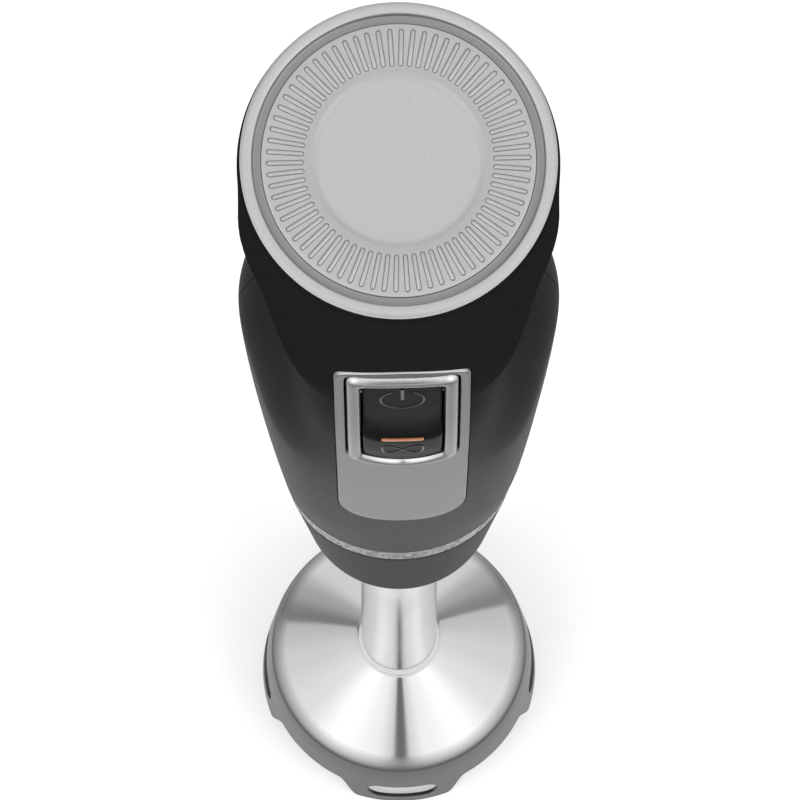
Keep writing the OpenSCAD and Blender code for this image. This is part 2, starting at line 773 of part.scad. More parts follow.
module leg_collar() {
    round = 1.6;
    color(black) difference() {
        loft(concat(
            [for (t = [0, 30, 60])
                let (r = collar_radius - round * (1 - sin(t)))
                oval_ring(r, r, collar_base + round * (1 - cos(t)), 0)],
            [for (t = steps(0, 1, 3)) let (z = mix(collar_base + round, leg_length, t))
                oval_ring(mix(collar_radius, collar_side, t), mix(collar_radius, collar_depth, t),
                    z, 0)]));
        translate([0, 0, lock_floor]) cylinder(r = collar_bore, h = lock_depth + 2);
        translate([0, 0, collar_base - 1]) cylinder(r = tube_upper_radius, h = collar_height);
    }
}

tube_upper_radius = tube_radius - 0.6;
module leg_tube() {
    low = dome_edge;
    color([0.75, 0.75, 0.74]) difference() {
        union() {
            translate([0, 0, low]) cylinder(r = tube_radius, h = guard_height + 2 - low);
            translate([0, 0, guard_height + 2]) cylinder(r1 = tube_radius,
                r2 = tube_upper_radius, h = collar_base - 2 - guard_height - 2);
            translate([0, 0, collar_base - 2]) cylinder(r = tube_upper_radius,
                h = tube_top - collar_base + 2);
        }
        translate([0, 0, low - 1]) cylinder(r = tube_bore, h = tube_top);
    }
}

ring_proud = 0.8;
module tube_ring() {
    color([0.85, 0.85, 0.85]) translate([0, 0, guard_height - 0.6]) difference() {
        rotate_extrude() polygon([[tube_radius - 1, 0], [tube_radius + ring_proud, 0],
            [tube_radius + ring_proud, 0.9], [tube_radius + 0.2, 2.4], [tube_radius - 1, 2.4]]);
        translate([0, 0, -1]) cylinder(r = tube_radius, h = 5);
    }
}

edge_round = 3;
function guard_skirt(z, inset) = mix(foot_radius, dome_radius, z / dome_edge) - inset;

// Section of the guard wall: skirt, rounded dome edge, shallow cone
module guard_section(inset) {
    top_z = guard_height - 0.6 - inset;
    cone = atan((top_z - dome_edge - edge_round * 0.3) / (dome_radius - tube_radius));
    polygon(concat([[0, 0], [guard_skirt(0, inset), 0]],
        [for (t = steps(0, 90 - cone, 8))
            [dome_radius - edge_round + (edge_round - inset) * cos(t),
             dome_edge - edge_round * 0.6 + (edge_round - inset) * sin(t)]],
        [[tube_radius + ring_proud, top_z], [0, top_z]]));
}

module foot_slot() {
    straight = slot_width / 2 - slot_height / 2;
    translate([dome_radius - 8, 0, 3.4 + slot_height / 2]) rotate([0, 90, 0]) {
        for (s = [-1, 1]) translate([0, s * straight, 0]) cylinder(r = slot_height / 2, h = 20);
        translate([-slot_height / 2, -straight, 0]) cube([slot_height, 2 * straight, 20]);
    }
}

// Cut between two feet: level, with an S-curve down to each foot
module arch_cut() {
    half = foot_radius * sin(180 / foot_count) - foot_width / 2 * cos(180 / foot_count);
    ramp = 6;
    translate([dome_radius - 12, 0, 0]) rotate([90, 0, 90]) linear_extrude(30) polygon(concat(
        [[-half, -1]], [for (x = steps(-half, ramp - half, 8)) [x, arch_height * smooth((x + half) / ramp)]],
        [for (x = steps(half - ramp, half, 8)) [x, arch_height * smooth((half - x) / ramp)]],
        [[half, -1]]));
}

module blade_guard() {
    color([0.75, 0.75, 0.74]) difference() {
        rotate_extrude($fn = 120) guard_section(0);
        translate([0, 0, -eps]) rotate_extrude($fn = 120) guard_section(guard_wall);
        translate([0, 0, dome_edge]) cylinder(r = tube_radius, h = 40);
        for (i = [0 : foot_count - 1]) rotate([0, 0, 360 * i / foot_count - 90]) {
            foot_slot();
            rotate([0, 0, 180 / foot_count]) arch_cut();
        }
    }
}

module sleeve(z, r, h) {
    translate([0, 0, z]) difference() {
        cylinder(r = r, h = h);
        translate([0, 0, -1]) cylinder(r = blade_shaft_radius + running_play, h = h + 2);
    }
}
module upper_bushing() { color([0.7, 0.55, 0.3]) sleeve(collar_base - 12, tube_bore, 8); }
module lower_bushing() { color([0.7, 0.55, 0.3]) sleeve(dome_edge + 4, tube_bore, 9); }
module shaft_seal() { color([0.12, 0.12, 0.12]) sleeve(dome_edge, tube_bore, 4); }

blade_z = dome_edge - 9;
module drive_shaft() {
    color(steel) translate([0, 0, blade_z - 2])
        cylinder(r = blade_shaft_radius, h = shaft_bottom - 1 - blade_z + 2);
}

module coupling_socket() {
    low = shaft_bottom - 6;
    color([0.9, 0.9, 0.88]) translate([0, 0, low]) difference() {
        cylinder(r = 8.4, h = 14);
        translate([0, 0, 5.5]) cylinder(r = dog_radius + socket_gap, h = 10, $fn = 6);
        translate([0, 0, -1]) cylinder(r = blade_shaft_radius, h = 10);
    }
}

module blade_spacer() {
    color([0.85, 0.85, 0.82]) translate([0, 0, blade_z + 0.8]) difference() {
        cylinder(r1 = 4.4, r2 = 6.4, h = dome_edge - blade_z - 1.6);
        translate([0, 0, -1]) cylinder(r = blade_shaft_radius, h = 20);
    }
}

wing_bend = 14;
wing_root = 6.5;
blade_thick = 1.5;
// Side of the blade: a level middle, one wing bent up and the other bent down.
module blade_side() {
    reach = blade_radius - wing_root;
    rise = reach * tan(wing_bend);
    edge = blade_thick / cos(wing_bend);
    mitre = blade_thick * tan(wing_bend / 2);
    polygon([[wing_root, 0], [blade_radius, rise], [blade_radius, rise + edge],
        [wing_root - mitre, blade_thick], [-wing_root, blade_thick],
        [-blade_radius, blade_thick - rise], [-blade_radius, blade_thick - rise - edge],
        [mitre - wing_root, 0]]);
}

// Plan of the blade, with pointed, swept tips.
module blade_plan() {
    broad = wing_root + 5;
    right = [[broad, -5], [blade_radius - 2.5, -2.2], [blade_radius - 0.1, 1.4],
        [blade_radius - 3.4, 4.4], [broad, 4.8]];
    left = [for (i = [len(right) - 1:-1:0]) [-right[i][0], right[i][1]]];
    polygon(concat(right, left));
}

module blade() {
    color([0.8, 0.8, 0.8]) translate([0, 0, blade_z - 0.7]) difference() {
        intersection() {
            rotate([90, 0, 0]) linear_extrude(20, center = true) blade_side();
            translate([0, 0, -12]) linear_extrude(26) blade_plan();
        }
        translate([0, 0, -4]) cylinder(r = blade_shaft_radius, h = 9);
    }
}

module blade_nut() {
    color([0.8, 0.8, 0.8]) translate([0, 0, blade_z - 4.7]) difference() {
        union() {
            cylinder(r = 4.6, h = 4, $fn = 6);
            translate([0, 0, -1.2]) cylinder(r1 = 2.6, r2 = 3.8, h = 1.2);
        }
        translate([0, 0, 2.7]) cylinder(r = blade_shaft_radius, h = 4);
    }
}

dial_cap();
dial_knob();
dial_spindle();
front_shell();
rear_shell();
dial_deck();
potentiometer();
potentiometer_nut();
trim_plate();
button_bezel();
rocker_button();
indicator_strip();
rocker_pin();
rocker_spring();
control_board();
microswitches();
board_frame();
board_screws();
cord_gland();
cord_clamp();
light_ring();
led_board();
drive_bracket();
bracket_screws();
motor_can();
field_magnets();
brush_cap();
carbon_brushes();
brush_springs();
lower_bearing();
upper_bearing();
motor_damper();
motor_shaft();
armature();
commutator();
cooling_fan();
drive_dog();
collar_seal();
leg_collar();
bayonet_ring();
leg_tube();
tube_ring();
blade_guard();
upper_bushing();
lower_bushing();
shaft_seal();
drive_shaft();
coupling_socket();
blade();
blade_spacer();
blade_nut();
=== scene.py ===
import json
import math

import bpy
import numpy as np
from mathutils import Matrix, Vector


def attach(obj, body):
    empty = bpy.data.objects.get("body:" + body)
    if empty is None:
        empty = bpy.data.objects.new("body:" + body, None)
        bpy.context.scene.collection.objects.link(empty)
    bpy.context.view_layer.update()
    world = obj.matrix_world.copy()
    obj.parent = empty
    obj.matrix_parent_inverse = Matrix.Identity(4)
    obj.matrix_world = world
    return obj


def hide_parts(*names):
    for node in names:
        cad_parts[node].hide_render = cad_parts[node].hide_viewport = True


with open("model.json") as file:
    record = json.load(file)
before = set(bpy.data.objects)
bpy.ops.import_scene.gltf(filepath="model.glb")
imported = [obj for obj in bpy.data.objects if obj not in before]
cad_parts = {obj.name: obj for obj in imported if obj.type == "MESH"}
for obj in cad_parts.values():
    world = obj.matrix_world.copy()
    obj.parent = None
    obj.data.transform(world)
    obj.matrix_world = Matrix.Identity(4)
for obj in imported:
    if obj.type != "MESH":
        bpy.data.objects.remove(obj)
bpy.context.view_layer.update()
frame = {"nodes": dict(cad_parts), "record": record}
MM = 0.001
scene = bpy.context.scene

# ---------------------------------------------------------------- sizes, in millimetres
BODY_BASE, BODY_TOP, SHOULDER_Z = 194.0, 393.0, 317.0
BASE_W, BASE_D, SHOULDER_W = 52.4, 43.4, 66.0
SHOULDER_F, SHOULDER_R, SHOULDER_H = 31.8, 29.6, 123.0
SIDE_FULL, FRONT_FULL = 1.35, 1.85
SLANT = math.radians(12)
HEAD_SHIFT = 7.5 * math.tan(SLANT)
HEAD_R, CAP_R = 31.1, 30.4
DIAL_Z = BODY_TOP + 7.5 / math.cos(SLANT)
PLATE_W, PLATE_LOW, PLATE_TOP, PLATE_ARC = 27.2, 245.0, 356.6, 20.0
ROCKER_Z, ROCKER_W, ROCKER_L, ROCKER_SAG = 329.0, 16.2, 44.0, 4.5
WINDOW_W, WINDOW_L, BAR = ROCKER_W + 0.6, ROCKER_L + 1, 2.8
BEZEL_W, BEZEL_L = WINDOW_W + 2 * BAR, WINDOW_L + 2 * BAR + 0.6
CREST_Z = 322.0
LEG_TOP, BAND_BASE, COLLAR_Z = 186.7, 187.0, 162.4


# ---------------------------------------------------------------- shape of the grip
def smooth(t):
    u = min(max(t, 0.0), 1.0)
    return u * u * (3 - 2 * u)


def mix(a, b, t):
    return a + (b - a) * t


def reach(z, foot, shoulder, full, dip):
    if z < SHOULDER_Z:
        t = min(max((z - BODY_BASE) / SHOULDER_H, 0), 1)
        return foot + (shoulder - foot) * (1 - (1 - t) ** full)
    t = min((z - SHOULDER_Z) / (BODY_TOP - SHOULDER_Z), 1)
    return mix(shoulder, HEAD_R, smooth(t)) - dip * math.sin(math.pi * t) ** 2


def reach_side(z):
    return reach(z, BASE_W / 2, SHOULDER_W / 2, SIDE_FULL, 0)


def reach_front(z):
    return reach(z, BASE_D / 2, SHOULDER_F, FRONT_FULL, 1.6)


def reach_rear(z):
    return reach(z, BASE_D / 2, SHOULDER_R, FRONT_FULL, 2.6)


def squareness(az, z):
    up = smooth((z - BODY_BASE) / 50) * smooth((BODY_TOP - 15 - z) / 35)
    return 2 + up * (1 - smooth((az - 30) / 45))


def head_edge(az):
    return BODY_TOP - 28 - 22 * (1 - smooth((az - 25) / 65))


def scoop(az, z):
    u = head_edge(az) - z
    side = smooth((az - 22) / 30) * (1 - 0.7 * smooth((az - 120) / 50))
    return 5.2 * side * smooth(u / 8) * (1 - smooth((u - 25) / 25))


def taper(az, z):
    side = smooth((az - 18) / 32) * (1 - smooth((az - 60) / 30))
    return (
        2.2
        * side
        * smooth((BODY_TOP - 4 - z) / 42)
        * (1 - smooth((head_edge(az) - z - 12) / 40))
    )


def turn_in(z):
    return smooth((z - BODY_TOP + 62) / 60)


def grip_point(az, z, inset):
    """az in degrees from the front, positive towards +X."""
    a, r = abs(az), math.radians(az)
    n = squareness(a, z)
    b = reach_front(z) if a <= 90 else reach_rear(z)
    d = (abs(math.sin(r)) / reach_side(z)) ** n + (abs(math.cos(r)) / b) ** n
    k = d ** (-1 / n) - scoop(a, z) - taper(a, z) - HEAD_SHIFT * turn_in(z) * math.cos(r) - inset
    x, y, s = k * math.sin(r), -k * math.cos(r), SLANT * turn_in(z)
    return x, y * math.cos(s), z + y * math.sin(s)


def front_face(x, z):
    n = squareness(0, z)
    t = max(1 - (abs(x) / reach_side(z)) ** n, 0)
    return reach_front(z) * t ** (1 / n) - HEAD_SHIFT * turn_in(z)


# ---------------------------------------------------------------- mesh helpers
def piece(name, verts, faces, body, material, replaced=(), angle=32, flat=False):
    me = bpy.data.meshes.new(name)
    me.from_pydata([(x * MM, y * MM, z * MM) for x, y, z in verts], [], faces)
    me.validate()
    ob = bpy.data.objects.new(name, me)
    scene.collection.objects.link(ob)
    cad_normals(ob)
    if not flat:
        me.polygons.foreach_set("use_smooth", [True] * len(me.polygons))
        me.set_sharp_from_angle(angle=math.radians(angle))
    me.materials.append(material)
    if body:
        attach(ob, body)
    if replaced:
        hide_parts(*replaced)
    return ob


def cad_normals(ob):
    import bmesh

    bm = bmesh.new()
    bm.from_mesh(ob.data)
    bmesh.ops.recalc_face_normals(bm, faces=bm.faces)
    bm.to_mesh(ob.data)
    bm.free()


def sections(rings, wrap=True, caps=False):
    """Quads between rings that all have the same number of points; each ring is closed."""
    n, verts, faces = len(rings[0]), [p for r in rings for p in r], []
    last = len(rings) if wrap else len(rings) - 1
    for j in range(last):
        k = (j + 1) % len(rings)
        for i in range(n):
            i2 = (i + 1) % n
            faces.append((j * n + i, j * n + i2, k * n + i2, k * n + i))
    if caps:
        faces.append(tuple(range(n - 1, -1, -1)))
        faces.append(tuple((len(rings) - 1) * n + i for i in range(n)))
    return verts, faces


def lathe(section, count, place=lambda p: p):
    """Closed section of (radius, height) turned about the axis."""
    rings = []
    for j in range(count):
        a = 2 * math.pi * j / count
        rings.append([place((r * math.cos(a), r * math.sin(a), z)) for r, z in section])
    return sections(rings)


def solid_lathe(profile, count, place=lambda p: p):
    """Open profile from the axis round to the axis again, turned into a closed solid."""
    verts, faces, rows = [], [], []
    for r, z in profile:
        if r < 1e-6:
            rows.append([len(verts)])
            verts.append(place((0, 0, z)))
        else:
            rows.append(list(range(len(verts), len(verts) + count)))
            verts += [
                place((r * math.cos(2 * math.pi * i / count), r * math.sin(2 * math.pi * i / count), z))
                for i in range(count)
            ]
    for a, b in zip(rows, rows[1:]):
        for i in range(count):
            i2 = (i + 1) % count
            if len(a) == 1:
                faces.append((a[0], b[i], b[i2]))
            elif len(b) == 1:
                faces.append((a[i], b[0], a[i2]))
            else:
                faces.append((a[i], b[i], b[i2], a[i2]))
    return verts, faces


def baked(ob):
    """Applies the modifiers to the mesh."""
    dg = bpy.context.evaluated_depsgraph_get()
    me = bpy.data.meshes.new_from_object(ob.evaluated_get(dg))
    old = ob.data
    ob.modifiers.clear()
    ob.data = me
    bpy.data.meshes.remove(old)
    return ob


def carve(ob, cutters, operation="DIFFERENCE"):
    for c in cutters:
        m = ob.modifiers.new("cut", "BOOLEAN")
        m.operation, m.solver, m.object = operation, "EXACT", c
    bpy.context.view_layer.update()
    baked(ob)
    for c in cutters:
        bpy.data.objects.remove(c)
    return ob


def soften(ob, width, segments=2, angle=40):
    m = ob.modifiers.new("edge", "BEVEL")
    m.width, m.segments, m.limit_method = width * MM, segments, "ANGLE"
    m.angle_limit, m.use_clamp_overlap = math.radians(angle), True
    m.harden_normals = False
    w = ob.modifiers.new("normals", "WEIGHTED_NORMAL")
    w.keep_sharp = True
    return ob


def arc(cx, cz, r, a0, a1, n):
    return [
        (cx + r * math.cos(math.radians(mix(a0, a1, i / n))), cz + r * math.sin(math.radians(mix(a0, a1, i / n))))
        for i in range(n + 1)
    ]


# ---------------------------------------------------------------- outlines seen from the front
def plate_line(grow):
    h, start = PLATE_W / 2 + grow, PLATE_LOW + PLATE_ARC
    pts = []
    for i in range(97):
        t = math.radians(180 + 180 * i / 96)
        pts.append((h * math.cos(t), start + (PLATE_ARC + grow) * math.sin(t)))
    top = PLATE_TOP + grow
    pts += [(h, z) for z in np.linspace(start + 2, top - 4, 40)]
    pts += arc(h - 2.6, top - 1.5 - 2.6, 2.6, 0, 80, 8)
    pts += [(x, top - 1.8 * (x / h) ** 2) for x in np.linspace(h - 3.2, 3.2 - h, 26)]
    pts += arc(2.6 - h, top - 1.5 - 2.6, 2.6, 100, 180, 8)
    pts += [(-h, z) for z in np.linspace(top - 4, start + 2, 40)]
    return pts


def rocker_line(w, l, sag, corner=1.5, foot=0.7):
    h, top, low = w / 2, ROCKER_Z + l / 2, ROCKER_Z - l / 2
    reach = 1 - (foot + 0.02 * h) / h if foot > 0.7 else 0.96
    rise = foot * 0.86 if foot > 0.7 else 0.4
    pts = [(h * t, low + sag * t * t) for t in np.linspace(-reach, reach, 40)]
    pts += arc(h - foot, low + sag + rise, foot, -60 if foot > 0.7 else -40, 0, 9 if foot > 0.7 else 3)
    pts += [(h, z) for z in np.linspace(low + sag + foot + 0.8, top - corner - 0.8, 40)]
    pts += arc(h - corner, top - corner, corner, 0, 90, 7)
    pts += [(x, top) for x in np.linspace(h - corner - 0.6, corner + 0.6 - h, 26)]
    pts += arc(corner - h, top - corner, corner, 90, 180, 7)
    pts += [(-h, z) for z in np.linspace(top - corner - 0.8, low + sag + foot + 0.8, 40)]
    pts += arc(foot - h, low + sag + rise, foot, 180, 240 if foot > 0.7 else 220, 9 if foot > 0.7 else 3)
    return pts


def resample(points, count):
    p = np.array(points + [points[0]], float)
    s = np.concatenate([[0], np.cumsum(np.hypot(*np.diff(p, axis=0).T))])
    t = np.linspace(0, s[-1], count, endpoint=False)
    return np.stack([np.interp(t, s, p[:, 0]), np.interp(t, s, p[:, 1])], 1)


def inward(p):
    d = np.roll(p, -1, 0) - np.roll(p, 1, 0)
    n = np.stack([-d[:, 1], d[:, 0]], 1)
    return n / np.linalg.norm(n, axis=1, keepdims=True)


def towards(outer, inner_line, centre):
    """The points of inner_line that lie on the rays from the centre to the outer points."""
    q = resample(inner_line, 1600)
    d = q - centre
    ang, rad = np.arctan2(d[:, 1], d[:, 0]), np.hypot(d[:, 0], d[:, 1])
    o = np.argsort(ang)
    e = outer - centre
    r = np.interp(np.arctan2(e[:, 1], e[:, 0]), ang[o], rad[o], period=2 * math.pi)
    return centre + e / np.linalg.norm(e, axis=1, keepdims=True) * r[:, None]


def wrapped(outer_line, inner_line, section, count):
    """A frame that follows the front of the grip.

    section holds (share of the way from inner to outer edge, offset off that edge, height).
    """
    centre = np.array([0.0, ROCKER_Z])
    outer = resample(outer_line, count)
    inner = towards(outer, inner_line, centre) if inner_line else np.repeat([centre], count, 0)
    n_out, n_in = inward(outer), inward(inner) if inner_line else 0
    rings = []
    for i in range(count):
        ring = []
        for share, off, high in section:
            p = inner[i] + (outer[i] - inner[i]) * share
            if share >= 1:
                p = outer[i] + n_out[i] * off
            elif share <= 0 and inner_line:
                p = inner[i] - n_in[i] * off
            ring.append((p[0], -front_face(p[0], p[1]) - high, p[1]))
        rings.append(ring)
    return rings


# ---------------------------------------------------------------- materials
class Nodes:
    def __init__(self, name):
        self.m = bpy.data.materials.new(name)
        self.m.use_nodes = True
        self.t = self.m.node_tree
        self.b = self.t.nodes["Principled BSDF"]
        self.co = self.t.nodes.new("ShaderNodeTexCoord").outputs["Object"]

    def add(self, kind, **values):
        n = self.t.nodes.new(kind)
        for k, v in values.items():
            if k in n.inputs:
                n.inputs[k].default_value = v
            else:
                setattr(n, k, v)
        return n

    def link(self, a, b):
        self.t.links.new(a, b)

    def noise(self, scale, detail=3.0, stretch=None):
        n = self.add("ShaderNodeTexNoise", Scale=scale, Detail=detail)
        if stretch:
            m = self.add("ShaderNodeMapping")
            m.inputs["Scale"].default_value = stretch
            self.link(self.co, m.inputs["Vector"])
            self.link(m.outputs[0], n.inputs["Vector"])
        else:
            self.link(self.co, n.inputs["Vector"])
        return n.outputs["Fac"]

    def ranged(self, source, low, high, a=0.3, b=0.7):
        n = self.add("ShaderNodeMapRange")
        for k, v in zip((1, 2, 3, 4), (a, b, low, high)):
            n.inputs[k].default_value = v
        self.link(source, n.inputs[0])
        return n.outputs[0]

    def tint(self, source, c0, c1, a=0.3, b=0.7):
        n = self.add("ShaderNodeValToRGB")
        n.color_ramp.elements[0].position, n.color_ramp.elements[1].position = a, b
        n.color_ramp.elements[0].color = (*c0, 1)
        n.color_ramp.elements[1].color = (*c1, 1)
        self.link(source, n.inputs[0])
        return n.outputs[0]

    def height(self, low, high):
        """0 below a level, 1 above another, in metres."""
        sep = self.add("ShaderNodeSeparateXYZ")
        self.link(self.co, sep.inputs[0])
        n = self.add("ShaderNodeMapRange", interpolation_type="SMOOTHSTEP")
        n.inputs[1].default_value, n.inputs[2].default_value = low, high
        self.link(sep.outputs["Z"], n.inputs[0])
        return n.outputs[0]

    def blend(self, factor, a, b, kind="MIX"):
        m = self.add("ShaderNodeMix", data_type="RGBA", blend_type=kind)
        if isinstance(factor, float):
            m.inputs["Factor"].default_value = factor
        else:
            self.link(factor, m.inputs["Factor"])
        self.link(a, m.inputs["A"])
        self.link(b, m.inputs["B"])
        self.link(m.outputs["Result"], self.b.inputs["Base Color"])
        return m.outputs["Result"]

    def bump(self, source, strength, distance):
        n = self.add("ShaderNodeBump", Strength=strength, Distance=distance * MM)
        self.link(source, n.inputs["Height"])
        self.link(n.outputs[0], self.b.inputs["Normal"])
        return n


def grey(v):
    return (v, v, v)


def shade(c, k):
    return tuple(min(x * k, 1) for x in c)


def made(name, colour, metallic, rough, spread=0.06, tone=0.12, size=900, fine=6000, depth=0.01, strength=0.3, **more):
    """Mottled colour and roughness at one scale, and a finer bump; sizes are noise cells a metre."""
    k = Nodes(name)
    big = k.noise(size)
    k.link(k.tint(big, shade(colour, 1 - tone), shade(colour, 1 + tone)), k.b.inputs["Base Color"])
    k.b.inputs["Metallic"].default_value = metallic
    k.link(k.ranged(k.noise(size * 2.3), rough - spread, rough + spread), k.b.inputs["Roughness"])
    k.bump(k.noise(fine), strength, depth)
    for key, value in more.items():
        k.b.inputs[key].default_value = value
    return k.m


def brushed(name, colour, rough, stretch, scale=1.0, depth=0.004, aniso=0.0, tone=0.06, strength=0.25):
    """Metal with fine lines along the axis that stretch leaves short."""
    k = Nodes(name)
    lines = k.noise(scale, 2.0, stretch)
    k.link(k.tint(lines, shade(colour, 1 - tone), shade(colour, 1 + tone)), k.b.inputs["Base Color"])
    k.b.inputs["Metallic"].default_value = 1.0
    k.link(k.ranged(lines, rough * 0.8, rough * 1.2), k.b.inputs["Roughness"])
    k.bump(lines, strength, depth)
    k.b.inputs["Anisotropic"].default_value = aniso
    return k.m


def body_black():
    """Soft-touch coat: very fine grain, and a broad faint sheen that fades towards the top; the base colour is painted
    darker towards the top as painted shade.
    """
    k = Nodes("soft_touch_black")
    up = k.height(0.25, 0.35)
    # painted shade: the base colour above the level is darker than below it
    k.blend(up, k.tint(k.noise(900, 4), grey(0.021), grey(0.025)), k.tint(k.noise(900, 4), grey(0.010), grey(0.013)))
    k.link(k.ranged(k.noise(900, 4), 0.50, 0.56), k.b.inputs["Roughness"])
    k.bump(k.noise(9000, 2), 0.22, 0.010)
    k.link(k.ranged(up, 0.11, 0.0, 0.0, 1.0), k.b.inputs["Specular IOR Level"])
    return k.m


def gloss_black():
    k = Nodes("gloss_black")
    k.link(k.tint(k.noise(300, 3), grey(0.006), grey(0.009)), k.b.inputs["Base Color"])
    k.link(k.ranged(k.noise(700, 4), 0.09, 0.15), k.b.inputs["Roughness"])
    k.bump(k.noise(450, 2), 0.08, 0.01)
    k.b.inputs["Specular IOR Level"].default_value = 0.012
    return k.m


def turned(name, colour, rough, aniso, centre, axis, rings=5200.0, split=None, light_shade_bands=None):
    """Spun metal: fine rings about the axis, and a highlight that fans out from it."""
    k = Nodes(name)
    sub = k.add("ShaderNodeVectorMath", operation="SUBTRACT")
    sub.inputs[1].default_value = tuple(x * MM for x in centre)
    k.link(k.co, sub.inputs[0])
    cross = k.add("ShaderNodeVectorMath", operation="CROSS_PRODUCT")
    cross.inputs[0].default_value = axis
    k.link(sub.outputs[0], cross.inputs[1])
    length = k.add("ShaderNodeVectorMath", operation="LENGTH")
    k.link(cross.outputs[0], length.inputs[0])
    norm = k.add("ShaderNodeVectorMath", operation="NORMALIZE")
    k.link(cross.outputs[0], norm.inputs[0])
    k.link(norm.outputs[0], k.b.inputs["Tangent"])
    rad = k.add("ShaderNodeCombineXYZ")
    k.link(length.outputs["Value"], rad.inputs[0])
    n = k.add("ShaderNodeTexNoise", Scale=rings, Detail=2.0)
    k.link(rad.outputs[0], n.inputs["Vector"])
    lines = n.outputs["Fac"]
    wide = k.noise(60, 3)
    mixed = k.add("ShaderNodeMath", operation="MULTIPLY_ADD")
    k.link(wide, mixed.inputs[0])
    mixed.inputs[1].default_value = 0.5
    k.link(lines, mixed.inputs[2])
    k.link(k.tint(mixed.outputs[0], shade(colour, 0.94), shade(colour, 1.05), 0.5, 1.0), k.b.inputs["Base Color"])
    k.b.inputs["Metallic"].default_value = 1.0
    k.link(k.ranged(lines, rough * 0.85, rough * 1.15), k.b.inputs["Roughness"])
    k.b.inputs["Anisotropic"].default_value = aniso
    if not light_shade_bands:
        k.bump(lines, 0.12, 0.003)
    else:  # a blasted surface, with painted highlights and painted shade by how far out it lies, in millimetres
        grain = k.noise(3600, 3)
        k.bump(grain, 0.3, 0.008)
        ramp = k.add("ShaderNodeValToRGB")
        while len(ramp.color_ramp.elements) < len(light_shade_bands):
            ramp.color_ramp.elements.new(0.5)
        for e, (radius, level) in zip(ramp.color_ramp.elements, light_shade_bands):
            e.position, e.color = radius / 32, (*grey(min(level, 1.12) / 1.12), 1)
        scaled = k.ranged(length.outputs["Value"], 0.0, 1.0, 0.0, 0.032)
        k.link(scaled, ramp.inputs[0])
        speck = k.tint(grain, shade(colour, 1.06), shade(colour, 1.18))
        k.blend(1.0, speck, ramp.outputs[0], "MULTIPLY")
    if split:  # a matt band below a level, its colour darkened as painted shade, and a polished one above it
        low, soft, painted_shade, dull = split
        sep = k.add("ShaderNodeSeparateXYZ")
        k.link(k.co, sep.inputs[0])
        f = k.ranged(sep.outputs["Z"], 0.0, 1.0, (low - soft) * MM, (low + soft) * MM)
        cm = k.add("ShaderNodeMix", data_type="RGBA")
        k.link(f, cm.inputs["Factor"])
        k.link(k.tint(k.noise(2500, 2), shade(painted_shade, 0.93), shade(painted_shade, 1.07)), cm.inputs["A"])
        k.link(k.tint(mixed.outputs[0], shade(colour, 0.94), shade(colour, 1.05), 0.5, 1.0), cm.inputs["B"])
        k.link(cm.outputs["Result"], k.b.inputs["Base Color"])
        rm = k.add("ShaderNodeMix", data_type="FLOAT")
        k.link(f, rm.inputs["Factor"])
        k.link(k.ranged(k.noise(5000, 2), dull * 0.9, dull * 1.1), rm.inputs["A"])
        k.link(k.ranged(lines, rough * 0.85, rough * 1.15), rm.inputs["B"])
        k.link(rm.outputs["Result"], k.b.inputs["Roughness"])
    return k.m


def by_facing(name, side, edge, low, high, rough):
    """Metal whose colour is painted bright where it faces up or down, a painted highlight, and duller on its sides."""
    k = Nodes(name)
    geo = k.add("ShaderNodeNewGeometry")
    sep = k.add("ShaderNodeSeparateXYZ")
    k.link(geo.outputs["Normal"], sep.inputs[0])
    flip = k.add("ShaderNodeMath", operation="ABSOLUTE")
    k.link(sep.outputs["Z"], flip.inputs[0])
    f = k.ranged(flip.outputs[0], 0.0, 1.0, low, high)
    dull = k.tint(k.noise(2600), shade(side, 0.95), shade(side, 1.05))
    # painted highlight: the bright colour is mixed in where the normal points up or down
    k.blend(f, dull, k.tint(k.noise(500), shade(edge, 0.97), shade(edge, 1.03)))
    k.b.inputs["Metallic"].default_value = 1.0
    k.link(k.ranged(k.noise(2600), rough * 0.85, rough * 1.15), k.b.inputs["Roughness"])
    k.bump(k.noise(7000), 0.3 if rough > 0.3 else 0.1, 0.012 if rough > 0.3 else 0.002)
    return k.m


def crackle():
    """Clear skin over a crackled reflector."""
    k = Nodes("clear_acrylic")
    v = k.add("ShaderNodeTexVoronoi", Scale=620.0, feature="F1")
    k.link(k.co, v.inputs["Vector"])
    edge = k.add("ShaderNodeTexVoronoi", Scale=620.0, feature="DISTANCE_TO_EDGE")
    k.link(k.co, edge.inputs["Vector"])
    k.link(k.tint(v.outputs["Distance"], grey(0.03), grey(0.20), 0.05, 0.6), k.b.inputs["Base Color"])
    k.b.inputs["Metallic"].default_value = 0.85
    k.link(k.ranged(k.noise(2500), 0.10, 0.3), k.b.inputs["Roughness"])
    b = k.add("ShaderNodeBump", Strength=0.9, Distance=0.35 * MM)
    k.link(v.outputs["Distance"], b.inputs["Height"])
    k.link(b.outputs[0], k.b.inputs["Normal"])
    k.b.inputs["Coat Weight"].default_value = 0.15
    k.b.inputs["Coat Roughness"].default_value = 0.05
    return k.m


